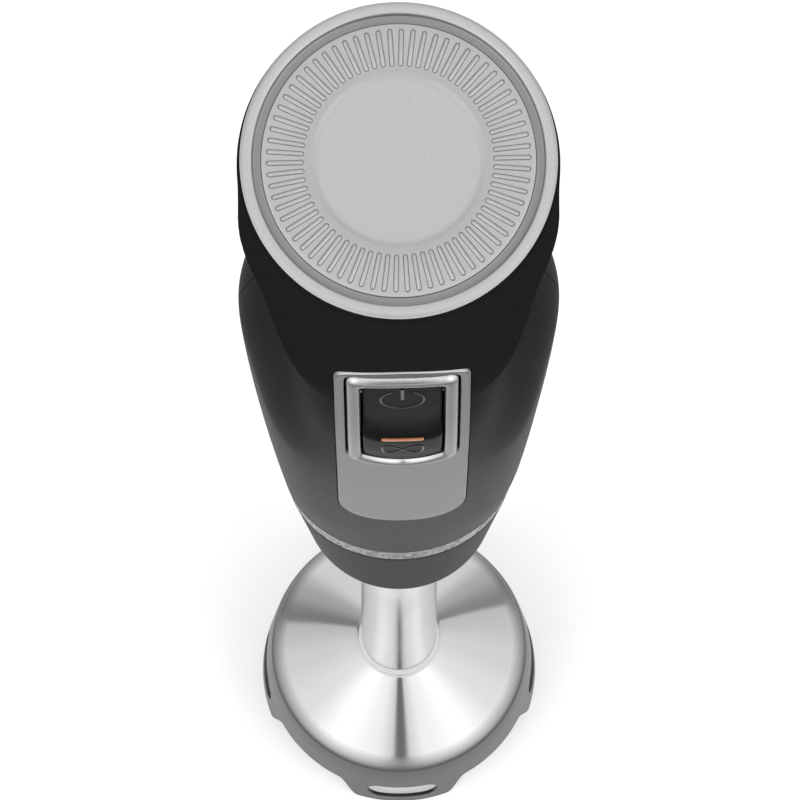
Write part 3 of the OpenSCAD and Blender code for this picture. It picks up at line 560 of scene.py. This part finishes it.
STEEL = (0.62, 0.61, 0.60)
M = {
    "soft_touch_black": body_black(),
    "gloss_black": gloss_black(),
    "dial_silver": turned(
        "dial_silver",
        (0.60, 0.60, 0.60),
        0.40,
        0.0,
        (0, 0, DIAL_Z),
        (0, -math.sin(SLANT), math.cos(SLANT)),
        # radius and brightness: painted highlights on the rim lines, painted shade in the groove, round the centre and
        # at the outer edge
        light_shade_bands=[(0, 1.04), (15.2, 1.04), (16.2, 0.93), (17.6, 0.92), (19, 1.0), (25.9, 1.0), (26.1, 1.12), (26.3, 0.62),
               (27.8, 0.55), (28.0, 0.75), (28.4, 1.08), (29.6, 1.08), (30.2, 0.85), (31, 0.7)],
    ),
    # plate and button frame: painted highlights on faces that point up or down
    "plate_steel": by_facing("plate_steel", (0.18, 0.178, 0.175), grey(0.72), 0.5, 0.9, 0.42),
    "frame_chrome": by_facing("frame_chrome", grey(0.15), grey(0.86), 0.35, 0.8, 0.2),
    "guard_steel": turned(
        "guard_steel",
        (0.78, 0.77, 0.76),
        0.085,
        0.25,
        (0, 0, 0),
        (0, 0, 1),
        4200.0,
        # below 22.9 mm the skirt is matt and darkened as painted shade
        (22.9, 1.0, (0.11, 0.11, 0.11), 0.36),
    ),
    "tube_steel": turned("tube_steel", (0.72, 0.715, 0.71), 0.2, 0.6, (0, 0, 0), (0, 0, 1), 3800.0),
    "blade_steel": brushed("blade_steel", STEEL, 0.22, (300, 9000, 300)),
    "shaft_steel": brushed("shaft_steel", STEEL, 0.24, (200, 200, 9000)),
    "screw_steel": made("screw_steel", STEEL, 1.0, 0.32, 0.08, 0.12, 1500, 5000, 0.01, 0.3),
    "spring_steel": made("spring_steel", (0.5, 0.5, 0.52), 1.0, 0.28, 0.06, 0.1, 2000, 5000, 0.005, 0.2),
    "bearing_steel": made("bearing_steel", (0.66, 0.66, 0.68), 1.0, 0.15, 0.04, 0.05, 1500, 5000, 0.003, 0.15),
    "clear_acrylic": crackle(),
    "orange_lens": made("orange_lens", (0.42, 0.17, 0.08), 0.0, 0.3, 0.06, 0.1, 1500, 6000, 0.01, 0.2),
    "inner_plastic": made("inner_plastic", (0.06, 0.06, 0.065), 0.0, 0.5, 0.08, 0.15, 600, 5000, 0.02, 0.3),
    "white_plastic": made("white_plastic", (0.72, 0.72, 0.70), 0.0, 0.45, 0.06, 0.04, 600, 5000, 0.02, 0.2),
    "board_green": made("board_green", (0.03, 0.16, 0.07), 0.0, 0.35, 0.08, 0.25, 800, 4000, 0.03, 0.4),
    "switch_body": made("switch_body", (0.10, 0.10, 0.11), 0.0, 0.4, 0.06, 0.15, 900, 5000, 0.02, 0.3),
    "pot_body": made("pot_body", (0.45, 0.46, 0.45), 0.9, 0.35, 0.07, 0.12, 900, 5000, 0.01, 0.3),
    "magnet": made("magnet", (0.10, 0.10, 0.10), 0.2, 0.65, 0.08, 0.2, 2500, 4000, 0.04, 0.5),
    "winding_copper": brushed("winding_copper", (0.70, 0.30, 0.14), 0.32, (2600, 2600, 160), 1.0, 0.05, 0, 0.2),
    "commutator_copper": brushed("commutator_copper", (0.78, 0.40, 0.22), 0.25, (2000, 2000, 100), 1.0, 0.02, 0, 0.15),
    "carbon": made("carbon", (0.02, 0.02, 0.02), 0.1, 0.6, 0.1, 0.3, 3000, 6000, 0.03, 0.5),
    "bushing_bronze": made("bushing_bronze", (0.60, 0.40, 0.20), 1.0, 0.35, 0.08, 0.15, 2500, 6000, 0.015, 0.4),
    "rubber_black": made("rubber_black", (0.022, 0.022, 0.023), 0.0, 0.62, 0.08, 0.2, 700, 5000, 0.03, 0.45),
}
M["icon_black"] = made("icon_black", (0.02, 0.02, 0.02), 0.6, 0.18, 0.06, 0.1, 900, 5000, 0.004, 0.15)
M["skirt_black"] = made("skirt_black", (0.010, 0.010, 0.010), 0.0, 0.4, 0.08, 0.1, 900, 5000, 0.004, 0.2)
M["skirt_black"].node_tree.nodes["Principled BSDF"].inputs["Specular IOR Level"].default_value = 0.0
# deep grey for the strips round the dial's ribs, a painted shadow
M["dial_rib_shade"] = made("dial_rib_shade", (0.26, 0.26, 0.26), 0.9, 0.45, 0.06, 0.15, 3000, 6000, 0.01, 0.3)
M["motor_steel"] = made("motor_steel", (0.45, 0.45, 0.46), 1.0, 0.3, 0.07, 0.08, 700, 5000, 0.008, 0.25)

slot_of = {p["node"]: p.get("material_slot") for p in frame["record"]["subparts"]}
for node, ob in frame["nodes"].items():
    found = slot_of.get(node)
    for s in range(max(len(ob.material_slots), 1)):
        if not ob.material_slots:
            ob.data.materials.append(None)
        name = found
        if not name and ob.material_slots[s].material:
            name = ob.material_slots[s].material.name.split(".")[0]
        ob.material_slots[s].material = M.get(name, M["inner_plastic"])


# ---------------------------------------------------------------- grip shells
def shell(name, side):
    levels = list(np.linspace(BODY_BASE, 290, 56)) + list(np.linspace(290, BODY_TOP - 0.8, 104))[1:]
    levels = [(z, 0.0) for z in levels]
    levels[0] = (BODY_BASE, 0.25)
    levels.insert(1, (BODY_BASE + 0.25, 0.0))
    levels += [(BODY_TOP - 0.45, 0.03), (BODY_TOP - 0.2, 0.14), (BODY_TOP, 0.45)]
    turn = 0 if side > 0 else 180
    count = 100
    steps = [-90 + 180 * i / count for i in range(count + 1)]
    steps.insert(1, -89.6)
    steps.insert(-1, 89.6)

    def at(step, z, inset, end):
        az = turn + step
        x, y, zz = grip_point(az - 360 if az > 180 else az, z, inset)
        return (x, -side * 0.04 if end else y, zz)

    rings = []
    for z, inset in levels:
        row = []
        for i, a in enumerate(steps):
            end = i in (0, len(steps) - 1)
            row.append(at(a, z, inset + (0.22 if end else 0), end))
        for i in range(len(steps) - 1, -1, -1):
            row.append(at(steps[i], z, 2.2, i in (0, len(steps) - 1)))
        rings.append(row)
    verts, faces = sections(rings, wrap=False)
    n = len(rings[0])
    for base in (0, (len(rings) - 1) * n):
        for i in range(n // 2 - 1):
            faces.append((base + i, base + i + 1, base + n - 2 - i, base + n - 1 - i))
    return piece(name, verts, faces, None, M["soft_touch_black"])


def plug(outer_line, over, under, count):
    """Solid that follows the front surface, for cutting a pocket or a window."""
    section = [(0.001, 0, over)] + [(s, 0, over) for s in (0.25, 0.5, 0.75, 0.95)]
    section += [(1, 0, over), (1, 0, -under)]
    section += [(s, 0, -under) for s in (0.95, 0.75, 0.5, 0.25)] + [(0.001, 0, -under)]
    rings = wrapped(outer_line, None, section, count)
    m = len(section)
    verts, faces = [p for r in rings for p in r], []
    for j in range(count):
        k = (j + 1) % count
        for i in range(m - 1):
            faces.append((j * m + i, j * m + i + 1, k * m + i + 1, k * m + i))
    faces.append(tuple(j * m for j in range(count)))
    faces.append(tuple(j * m + m - 1 for j in range(count - 1, -1, -1)))
    return piece("cutter", verts, faces, None, M["soft_touch_black"])


front = shell("grip_front", 1)
carve(
    front,
    [
        plug(plate_line(0.15), 3.0, 1.5, 300),
        plug(rocker_line(WINDOW_W + 0.4, WINDOW_L + 0.4, ROCKER_SAG), 3.5, 6.0, 200),
    ],
)
rear = shell("grip_rear", -1)
INLET_Z = BODY_TOP - 34
INLET_FACE = reach_rear(INLET_Z) + 2.6


def rearward(p):
    return (p[0], p[2], INLET_Z + p[1])


cut_v, cut_f = solid_lathe([(0, 10), (6.4, 10), (6.4, 60), (0, 60)], 96, rearward)
carve(rear, [piece("cutter", cut_v, cut_f, None, M["soft_touch_black"])])
for ob, node in ((front, "front_shell"), (rear, "rear_shell")):
    ob.data.polygons.foreach_set("use_smooth", [True] * len(ob.data.polygons))
    ob.data.set_sharp_from_angle(angle=math.radians(32))
    ob.modifiers.new("normals", "WEIGHTED_NORMAL").keep_sharp = True
    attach(ob, "motor_unit")
    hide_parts(node)

# ---------------------------------------------------------------- trim plate, button frame
mid = [i / 14 for i in range(1, 14)]
section = [(0, 0, -1.2), (0, 0, -0.1), (0, 0.14, 0.12), (0, 0.36, 0.25)]
section += [(s, 0, 0.25) for s in mid]
section += [(1, 0.42, 0.25), (1, 0.14, 0.12), (1, 0, -0.2), (1, 0, -1.2)]
section += [(s, 0, -1.2) for s in reversed(mid)]
v, f = sections(
    wrapped(plate_line(0), rocker_line(BEZEL_W + 0.7, BEZEL_L + 0.7, ROCKER_SAG, 2.3, 3.4), section, 520)
)
piece("trim_plate_face", v, f, "motor_unit", M["plate_steel"], ["trim_plate"], 60)

section = [(0, 0, -1.2), (0, 0, 0.5), (0, 0.12, 0.95), (0, 0.40, 1.30), (0, 0.85, 1.52), (0.5, 0, 1.6)]
section += [(1, 0.85, 1.46), (1, 0.40, 1.18), (1, 0.12, 0.80), (1, 0, 0.35), (1, 0, -1.2)]
v, f = sections(
    wrapped(
        rocker_line(BEZEL_W, BEZEL_L, ROCKER_SAG, 2.2, 3.2),
        rocker_line(WINDOW_W, WINDOW_L, ROCKER_SAG, 1.2),
        section,
        420,
    )
)
piece("button_frame", v, f, "motor_unit", M["frame_chrome"], ["button_bezel"], 60)

# ---------------------------------------------------------------- rocker
TOP_Z, LOW_Z = ROCKER_Z + ROCKER_L / 2, ROCKER_Z - ROCKER_L / 2
CREST_Y = front_face(0, CREST_Z) + 1.1
depth_line = [
    (LOW_Z, front_face(0, LOW_Z) + 0.1),
    (LOW_Z + 0.4, front_face(0, LOW_Z) + 0.5),
    (LOW_Z + 1.2, front_face(0, LOW_Z) + 0.8),
    (CREST_Z - 7, CREST_Y - 0.05),
    (CREST_Z - 2.0, CREST_Y - 0.03),
    (CREST_Z - 0.9, CREST_Y - 0.10),
    (CREST_Z - 0.2, CREST_Y - 0.45),
    (CREST_Z + 0.8, CREST_Y - 1.1),
    (CREST_Z + 3.0, CREST_Y - 1.75),
    (CREST_Z + 7.0, CREST_Y - 2.3),
    (CREST_Z + 13, CREST_Y - 2.75),
    (CREST_Z + 18, CREST_Y - 3.15),
    (TOP_Z - 6, CREST_Y - 3.6),
    (TOP_Z - 1.0, CREST_Y - 4.2),
    (TOP_Z - 0.3, CREST_Y - 4.5),
    (TOP_Z, CREST_Y - 5.0),
]


def monotone(points, t):
    xs, ys = [p[0] for p in points], [p[1] for p in points]
    d = [(ys[i + 1] - ys[i]) / (xs[i + 1] - xs[i]) for i in range(len(xs) - 1)]
    inner = [0 if a * b <= 0 else 2 * a * b / (a + b) for a, b in zip(d, d[1:])]
    m = [d[0]] + inner + [d[-1]]
    i = min(max(sum(1 for x in xs if x <= t) - 1, 0), len(d) - 1)
    h = xs[i + 1] - xs[i]
    u = (t - xs[i]) / h
    return (
        (2 * u**3 - 3 * u**2 + 1) * ys[i]
        + (u**3 - 2 * u**2 + u) * h * m[i]
        + (3 * u**2 - 2 * u**3) * ys[i + 1]
        + (u**3 - u**2) * h * m[i + 1]
    )


def rocker_level(u, s):
    """Height of the row that lies at s along the middle line, u across; the rows sag towards the middle low down."""
    low = smooth((CREST_Z + 14 - s) / 14)
    edge = ROCKER_SAG * u * u * smooth((CREST_Z - s) / (CREST_Z - LOW_Z)) + ROCKER_SAG * 0.95 * abs(u) ** 3.4 * (
        1 - smooth((CREST_Z - s) / (CREST_Z - LOW_Z))
    )
    return s + edge * low


def rocker_at(x, s):
    """Point of the rocker's face."""
    u = x / (ROCKER_W / 2)
    rim = max(abs(u) - 0.93, 0) / 0.07
    return (x, -(monotone(depth_line, s) - 0.35 * rim * rim - 0.10 * u * u), rocker_level(u, s))


us = [-1, -0.985, -0.96, -0.93] + list(np.linspace(-0.9, 0.9, 49)) + [0.93, 0.96, 0.985, 1]
ss = sorted(set([round(z, 3) for z in np.linspace(LOW_Z, TOP_Z, 120)] + [p[0] for p in depth_line]))
rows = []
for s in ss:
    corner = max((s - (TOP_Z - 1.3)) / 1.3, 0)
    half = ROCKER_W / 2 - 1.3 * (1 - math.sqrt(max(1 - corner * corner, 0)))
    rows.append([rocker_at(u * half, s) for u in us])
grid = len(us)
verts = [p for r in rows for p in r]
faces = [
    (j * grid + i, j * grid + i + 1, (j + 1) * grid + i + 1, (j + 1) * grid + i)
    for j in range(len(rows) - 1)
    for i in range(grid - 1)
]
rim = [i for i in range(grid)] + [j * grid + grid - 1 for j in range(1, len(rows))]
rim += [(len(rows) - 1) * grid + i for i in range(grid - 2, -1, -1)] + [j * grid for j in range(len(rows) - 2, 0, -1)]
back = len(verts)
BACK_Y = -(SHOULDER_F - 8.2) - 1.6
verts += [(verts[i][0], BACK_Y, verts[i][2]) for i in rim]
for k, i in enumerate(rim):
    k2 = (k + 1) % len(rim)
    faces.append((i, rim[k2], back + k2, back + k))
faces.append(tuple(back + k for k in range(len(rim))))
piece("rocker_face", verts, faces, "rocker", M["gloss_black"], ["rocker_button"], 50)


def ridge(line, width, height, closed):
    """Raised rib that follows a line on the rocker's face; line holds (x, level along the middle)."""
    n = len(line)
    pts = [Vector(rocker_at(x, s)) for x, s in line]
    rings = []
    for i in range(n):
        a, b = pts[(i - 1) % n] if closed or i else pts[0], pts[(i + 1) % n] if closed or i < n - 1 else pts[-1]
        t = (b - a).normalized()
        out = Vector((0, -1, 0))
        side = t.cross(out).normalized()
        ring = []
        for k in range(9):
            g = math.pi * k / 8
            p = pts[i] + side * (width / 2 * math.cos(g)) + out * (height * math.sin(g) - 0.15)
            ring.append(tuple(p))
        rings.append(ring)
    v, f = sections(rings, wrap=closed, caps=not closed)
    return v, f


def joined(parts):
    verts, faces = [], []
    for v, f in parts:
        base = len(verts)
        verts += list(v)
        faces += [tuple(base + i for i in q) for q in f]
    return verts, faces


ICON_Z = 340.4
ICON_R = 4.4
ring_angles = np.linspace(math.radians(28), math.radians(332), 60)
ring_line = [(ICON_R * math.sin(a), ICON_Z + ICON_R * math.cos(a)) for a in ring_angles]
tick_line = [(0.0, z) for z in np.linspace(ICON_Z + 0.2, ICON_Z + 5.2, 8)]
v, f = joined([ridge(ring_line, 0.62, 0.40, False), ridge(tick_line, 0.9, 0.40, False)])
piece("rocker_icon_upper", v, f, "rocker", M["icon_black"], angle=60)
eight = [(4.2 * math.sin(a), 315.4 + 2.5 * math.sin(2 * a)) for a in np.linspace(0, 2 * math.pi, 96, endpoint=False)]
v, f = ridge(eight, 0.55, 0.36, True)
piece("rocker_icon_lower", v, f, "rocker", M["icon_black"], angle=60)

strip = []
for x in np.linspace(-4.3, 4.3, 40):
    end = math.sqrt(max(1 - max(abs(x) - 3.9, 0) ** 2 / 0.17, 0))
    base = rocker_level(x / (ROCKER_W / 2), CREST_Z)
    ring = []
    for a in range(12):
        g = 2 * math.pi * a / 12
        c, s_ = math.cos(g), math.sin(g)
        px = abs(c) ** 0.6 * math.copysign(1, c)
        pz = abs(s_) ** 0.6 * math.copysign(1, s_)
        ring.append((x, -(CREST_Y - 0.26) + 0.30 * px, base - 0.30 + 0.42 * pz * end))
    strip.append(ring)
v, f = sections(strip, wrap=False, caps=True)
piece("indicator_lens", v, f, "rocker", M["orange_lens"], ["indicator_strip"], 50)


# ---------------------------------------------------------------- speed dial
def dial_place(p):
    x, y, z = p
    c, s = math.cos(SLANT), math.sin(SLANT)
    return (x, y * c - z * s, DIAL_Z + y * s + z * c)


R, D = CAP_R, -1.4
profile = [(0, -3.0), (R - 0.5, -3.0), (R - 0.15, -2.85), (R, -2.5), (R, -0.46), (R - 0.13, -0.16), (R - 0.5, -0.01)]
profile += [(R - 1.2, 0.0), (R - 1.95, 0), (R - 2.2, -0.10), (R - 2.34, -0.34), (R - 2.5, D - 0.3), (R - 2.7, D - 0.4)]
profile += [(R - 3.7, D - 0.4), (R - 3.95, D - 0.34), (R - 4.1, D - 0.06), (R - 4.3, D), (R - 5.6, D)]
profile += [(R - 8, D), (R - 12, D), (R - 13.4, D), (R - 13.8, D - 0.04), (R - 14.3, D - 0.21), (R - 14.7, D - 0.25)]
profile += [(r, D - 0.25 - 0.10 * (1 - (r / (R - 14.7)) ** 2)) for r in (13, 10, 7, 4, 1.5)]
profile += [(0, D - 0.35)]
parts = [solid_lathe(profile, 288, dial_place)]
RI, RO, RR = CAP_R - 12.2, CAP_R - 5.1, 0.40
for i in range(70):
    a = 2 * math.pi * i / 70
    line = [(RI + RR * (1 - math.cos(math.pi / 2 * t)), math.sin(math.pi / 2 * t)) for t in (0.0, 0.35, 0.7, 1.0)]
    line += [(RO - RR * (1 - math.cos(math.pi / 2 * t)), math.sin(math.pi / 2 * t)) for t in (1.0, 0.7, 0.35, 0.0)]
    rings = []
    for r, w in line:
        ring = []
        for k in range(9):
            g = math.pi * k / 8
            y, z = RR * max(w, 0.05) * math.cos(g), D - 0.05 + 0.36 * max(w, 0.3) * math.sin(g) ** 0.55
            ring.append(dial_place((r * math.cos(a) - y * math.sin(a), r * math.sin(a) + y * math.cos(a), z)))
        rings.append(ring)
    parts.append(sections(rings, wrap=False, caps=True))
# strips round the foot of each rib: painted shadow where the ribs meet the face
rib_shadows = []
for i in range(70):
    a = 2 * math.pi * i / 70
    edge = arc(RO - RR, 0, RR + 0.13, -90, 90, 8) + arc(RI + RR, 0, RR + 0.13, 90, 270, 8)
    rings = []
    for z in (D - 0.05, D + 0.012):
        rings.append(
            [dial_place((r * math.cos(a) - y * math.sin(a), r * math.sin(a) + y * math.cos(a), z)) for r, y in edge]
        )
    rib_shadows.append(sections(rings, wrap=False, caps=True))
v, f = joined(rib_shadows)
piece("dial_rib_shadows", v, f, "speed_dial", M["dial_rib_shade"], angle=40)
v, f = joined(parts)
piece("dial_face", v, f, "speed_dial", M["dial_silver"], ["dial_cap"], 40)

F = -3.05
profile = [(0, F), (R + 0.08, F), (R + 0.28, F - 0.12), (R + 0.36, F - 0.42), (R + 0.42, F - 1.2)]
profile += [(HEAD_R - 0.06, -6.4), (HEAD_R, -6.75), (HEAD_R - 0.09, -7.05), (HEAD_R - 0.36, -7.2)]
profile += [(HEAD_R - 2.4, -7.2), (HEAD_R - 2.9, F - 2)]
v, f = solid_lathe(profile + [(0, F - 2)], 288, dial_place)
piece("dial_skirt", v, f, "speed_dial", M["skirt_black"], ["dial_knob"], 40)


# ---------------------------------------------------------------- clear band and leg collar
def oval(a, b, z, count=200):
    return [
        (a * math.sin(2 * math.pi * i / count), -b * math.cos(2 * math.pi * i / count), z) for i in range(count)
    ]


def jitter(i, j):
    x = math.sin(i * 12.9898 + j * 78.233) * 43758.5453
    return x - math.floor(x)


rings = [oval(25.5 - 2.4, 21.3 - 2.4, BAND_BASE, 150)]
rows = 7
for j in range(rows + 1):
    t = j / rows
    a, b, z = mix(25.5, 26.2, t), mix(21.3, 21.7, t), mix(BAND_BASE, BODY_BASE - 0.02, t)
    ring = []
    for i, p in enumerate(oval(a, b, z, 150)):
        k = 0.06 if j in (0, rows) else 0.34 * jitter(i, j)
        e = jitter(i + 7, j + 3) - 0.5 if 0 < j < rows else 0
        ring.append((p[0] * (1 - k / a), p[1] * (1 - k / b), p[2] + 0.5 * e))
    rings.append(ring)
rings.append(oval(26.2 - 2.4, 21.7 - 2.4, BODY_BASE - 0.02, 150))
v, f = sections(rings)
piece("band_clear", v, f, "motor_unit", M["clear_acrylic"], ["light_ring"], flat=True)

CR, CS, CD = 22.1, 25.5, 21.3
outer = [(CR - 1.75, CR - 1.75, COLLAR_Z)]
for g in np.linspace(0, 90, 9):
    r = CR - 1.6 * (1 - math.sin(math.radians(g)))
    outer.append((r, r, COLLAR_Z + 1.6 * (1 - math.cos(math.radians(g)))))
for t in np.linspace(0, 1, 24)[1:]:
    z = mix(COLLAR_Z + 1.6, LEG_TOP - 0.3, t)
    k = (z - COLLAR_Z - 1.6) / (LEG_TOP - COLLAR_Z - 1.6)
    outer.append((mix(CR, CS, k), mix(CR, CD, k), z))
outer += [(CS - 0.08, CD - 0.08, LEG_TOP - 0.1), (CS - 0.3, CD - 0.3, LEG_TOP)]
outer += [(19.4, 19.4, LEG_TOP), (19.2, 19.2, LEG_TOP - 0.2), (19.2, 19.2, 169.7), (8.9, 8.9, 169.7)]
outer += [(8.9, 8.9, COLLAR_Z + 0.3), (9.2, 9.2, COLLAR_Z)]
v, f = sections([oval(a, b, z, 220) for a, b, z in outer])
piece("collar_skin", v, f, "leg", M["soft_touch_black"], ["leg_collar"], 40)

# ---------------------------------------------------------------- tube, ring, guard
section = [(8, 22.2), (8, COLLAR_Z + 4.2), (8.2, COLLAR_Z + 4.4), (8.7, COLLAR_Z + 4.4), (8.9, COLLAR_Z + 4.2)]
section += [(8.9, COLLAR_Z - 2)] + [(mix(8.9, 9.5, t), mix(COLLAR_Z - 2, 36, t)) for t in np.linspace(0, 1, 30)[1:]]
section += [(9.5, 30), (9.5, 22.2), (9.3, 22), (8.2, 22)]
v, f = lathe(section, 192)
piece("tube_polished", v, f, "leg", M["tube_steel"], ["leg_tube"], 40)

Z = 33.4
section = [(9.5, Z), (10.1, Z), (10.26, Z + 0.1), (10.3, Z + 0.3), (10.28, Z + 0.8), (10.1, Z + 1.15)]
section += [(9.85, Z + 1.7), (9.75, Z + 2.2), (9.6, Z + 2.4), (9.5, Z + 2.4)]
v, f = lathe(section, 192)
piece("tube_collar_ring", v, f, "leg", M["tube_steel"], ["tube_ring"], 40)

FOOT, DOME, EDGE, GUARD_H = 35.4, 32.8, 22.0, 34.0


def guard_line(inset, fine):
    top = GUARD_H - 0.6 - inset
    cone = math.degrees(math.atan((top - EDGE - 0.9) / (DOME - 9.5)))
    line = [(mix(FOOT, DOME, z / EDGE) - inset, z) for z in (0.0, 1.5, 3, 6, 9, 12, 15, 18)]
    for t in np.linspace(0, 90 - cone, fine):
        r = math.radians(t)
        line.append((DOME - 3 + (3 - inset) * math.cos(r), EDGE - 1.8 + (3 - inset) * math.sin(r)))
    last = line[-1]
    for t in np.linspace(0, 1, 22)[1:]:
        bow = 0.35 * math.sin(math.pi * t) * (1 - t)
        line.append((mix(last[0], 10.3, t), mix(last[1], top, t) - bow * (0 if inset else 1)))
    return line


outside, inside = guard_line(0, 16), guard_line(0.9, 10)
outside = [(outside[0][0] - 0.25, 0.0), (outside[0][0] - 0.03, 0.22)] + outside[1:]
section = outside + [(9.5, GUARD_H - 0.6), (9.5, GUARD_H - 1.5)] + inside[::-1]
v, f = lathe(section, 320)
guard = piece("guard_skin", v, f, None, M["guard_steel"])
cutters = []
for k in range(4):
    a = math.radians(90 * k - 90)
    straight = 18 / 2 - 3.5
    flat_line = arc(straight, 0, 3.5, -90, 90, 20) + arc(-straight, 0, 3.5, 90, 270, 20)
    rings = []
    for reach_ in (24.8, 44.8):
        rings.append(
            [(reach_ * math.cos(a) - y * math.sin(a), reach_ * math.sin(a) + y * math.cos(a), 6.9 + z) for y, z in flat_line]
        )
    v, f = sections(rings, wrap=False, caps=True)
    cutters.append(piece("cutter", v, f, None, M["guard_steel"]))
    a += math.radians(45)
    half = FOOT * math.sin(math.radians(45)) - 13 * math.cos(math.radians(45))
    edge = [(-half, -1.0)] + [(x, 8.5 * smooth((x + half) / 6)) for x in np.linspace(-half, 6 - half, 20)]
    edge += [(x, 8.5) for x in np.linspace(7 - half, half - 7, 5)]
    edge += [(x, 8.5 * smooth((half - x) / 6)) for x in np.linspace(half - 6, half, 20)] + [(half, -1.0)]
    rings = []
    for reach_ in (20.8, 50.8):
        rings.append(
            [(reach_ * math.cos(a) - y * math.sin(a), reach_ * math.sin(a) + y * math.cos(a), z) for y, z in edge]
        )
    v, f = sections(rings, wrap=False, caps=True)
    cutters.append(piece("cutter", v, f, None, M["guard_steel"]))
carve(guard, cutters)
guard.data.polygons.foreach_set("use_smooth", [True] * len(guard.data.polygons))
guard.data.set_sharp_from_angle(angle=math.radians(35))
guard.modifiers.new("normals", "WEIGHTED_NORMAL").keep_sharp = True
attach(guard, "leg")
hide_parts("blade_guard")

# ---------------------------------------------------------------- cord inlet
section = [(3.6, 0.5), (3.75, 0.15), (4.1, 0), (4.7, 0), (5.05, 0.15), (6.15, 1.45), (6.33, 1.85), (6.35, 2.3)]
section += [(6.35, 9.0), (7.8, 9.0), (7.8, 10.6), (6.35, 10.6), (6.35, 12), (3.6, 12)]
v, f = lathe(section, 96, lambda p: (p[0], INLET_FACE - p[2], INLET_Z + p[1]))
piece("inlet_bush", v, f, "motor_unit", M["rubber_black"], ["cord_gland"], 40)

for node in ("blade", "blade_nut", "blade_spacer"):
    soften(frame["nodes"][node], 0.15)

# ---------------------------------------------------------------- floor, light, camera
floor_mat = Nodes("floor_pale")
floor_mat.link(floor_mat.tint(floor_mat.noise(25, 4), grey(0.58), grey(0.60)), floor_mat.b.inputs["Base Color"])
floor_mat.b.inputs["Roughness"].default_value = 0.9
floor_mat.b.inputs["Specular IOR Level"].default_value = 0.1
floor_mat.b.inputs["Emission Color"].default_value = (1, 1, 1, 1)
floor_mat.b.inputs["Emission Strength"].default_value = 0.42
bpy.ops.mesh.primitive_plane_add(size=6, location=(0, 0, 0))
floor = bpy.context.object
floor.name = "floor"
floor.data.materials.append(floor_mat.m)

world = bpy.data.worlds.new("studio")
scene.world = world
world.use_nodes = True
wt = world.node_tree
wt.nodes.clear()
out = wt.nodes.new("ShaderNodeOutputWorld")
bg = wt.nodes.new("ShaderNodeBackground")
co = wt.nodes.new("ShaderNodeTexCoord")
sep = wt.nodes.new("ShaderNodeSeparateXYZ")
wt.links.new(co.outputs["Generated"], sep.inputs[0])
az = wt.nodes.new("ShaderNodeMath")
az.operation = "ARCTAN2"  # 0 at the front (-Y), growing towards +X and -X alike once the sign is dropped
neg = wt.nodes.new("ShaderNodeMath")
neg.operation = "MULTIPLY"
neg.inputs[1].default_value = -1.0
wt.links.new(sep.outputs["Y"], neg.inputs[0])
wt.links.new(sep.outputs["X"], az.inputs[0])
wt.links.new(neg.outputs[0], az.inputs[1])
share = wt.nodes.new("ShaderNodeMapRange")
share.inputs[1].default_value, share.inputs[2].default_value = -math.pi, math.pi
wt.links.new(az.outputs[0], share.inputs[0])
ramp = wt.nodes.new("ShaderNodeValToRGB")
ramp.color_ramp.interpolation = "EASE"
# azimuth in degrees, and how bright the studio is there
stops = [(-180, 0.80), (-148, 0.80), (-136, 0.46), (-124, 0.24), (-121.5, 0.24), (-120, 0.62), (-100, 0.80), (-75, 0.95)]
stops += [(-45, 1.35), (-20, 1.15), (-6, 0.85), (-3.6, 0.15), (3.6, 0.15), (6, 0.85), (20, 1.15), (45, 1.35), (75, 0.98)]
stops += [(100, 0.84), (125, 0.66), (127, 0.26), (130, 0.30), (140, 0.50), (150, 0.80), (180, 0.80)]
while len(ramp.color_ramp.elements) < len(stops):
    ramp.color_ramp.elements.new(0.5)
for e, (deg, level) in zip(ramp.color_ramp.elements, stops):
    e.position = (deg + 180) / 360
    e.color = (level, level, level, 1)
wt.links.new(share.outputs[0], ramp.inputs[0])
# overhead the studio is even
top = wt.nodes.new("ShaderNodeMapRange")
top.interpolation_type = "SMOOTHSTEP"
top.inputs[1].default_value, top.inputs[2].default_value = 0.86, 0.95
wt.links.new(sep.outputs["Z"], top.inputs[0])
blend_top = wt.nodes.new("ShaderNodeMix")
blend_top.data_type = "RGBA"
wt.links.new(top.outputs[0], blend_top.inputs["Factor"])
wt.links.new(ramp.outputs[0], blend_top.inputs["A"])
blend_top.inputs["B"].default_value = (0.85, 0.85, 0.85, 1)
wt.links.new(blend_top.outputs["Result"], bg.inputs["Color"])
bg.inputs["Strength"].default_value = 1.0
wt.links.new(bg.outputs[0], out.inputs["Surface"])


def area(name, place, aim, size, power):
    data = bpy.data.lights.new(name, "AREA")
    data.shape, data.size, data.size_y, data.energy = "RECTANGLE", size[0], size[1], power
    ob = bpy.data.objects.new(name, data)
    scene.collection.objects.link(ob)
    ob.location = place
    ob.rotation_euler = (Vector(aim) - Vector(place)).to_track_quat("-Z", "Y").to_euler()
    ob.visible_glossy = False
    return ob


area("key_left", (-1.1, -0.8, 1.3), (0, 0, 0.2), (0.9, 1.1), 9)
area("key_right", (1.1, -0.8, 1.3), (0, 0, 0.2), (0.9, 1.1), 9)

PITCH = math.radians(16.768)
TURN = math.radians(-1.4)
data = bpy.data.cameras.new("photo_view")
data.lens, data.sensor_width = 249.44, 36.0
data.clip_start, data.clip_end = 0.05, 20
cam = bpy.data.objects.new("photo_view", data)
scene.collection.objects.link(cam)
back_off, height = 0.34906, 1.4
cam.location = (back_off * math.sin(TURN) + 0.00025, -back_off * math.cos(TURN), height)
cam.rotation_euler = (PITCH, 0, TURN)
scene.camera = cam
scene.view_settings.view_transform = "Standard"
scene.view_settings.look = "None"
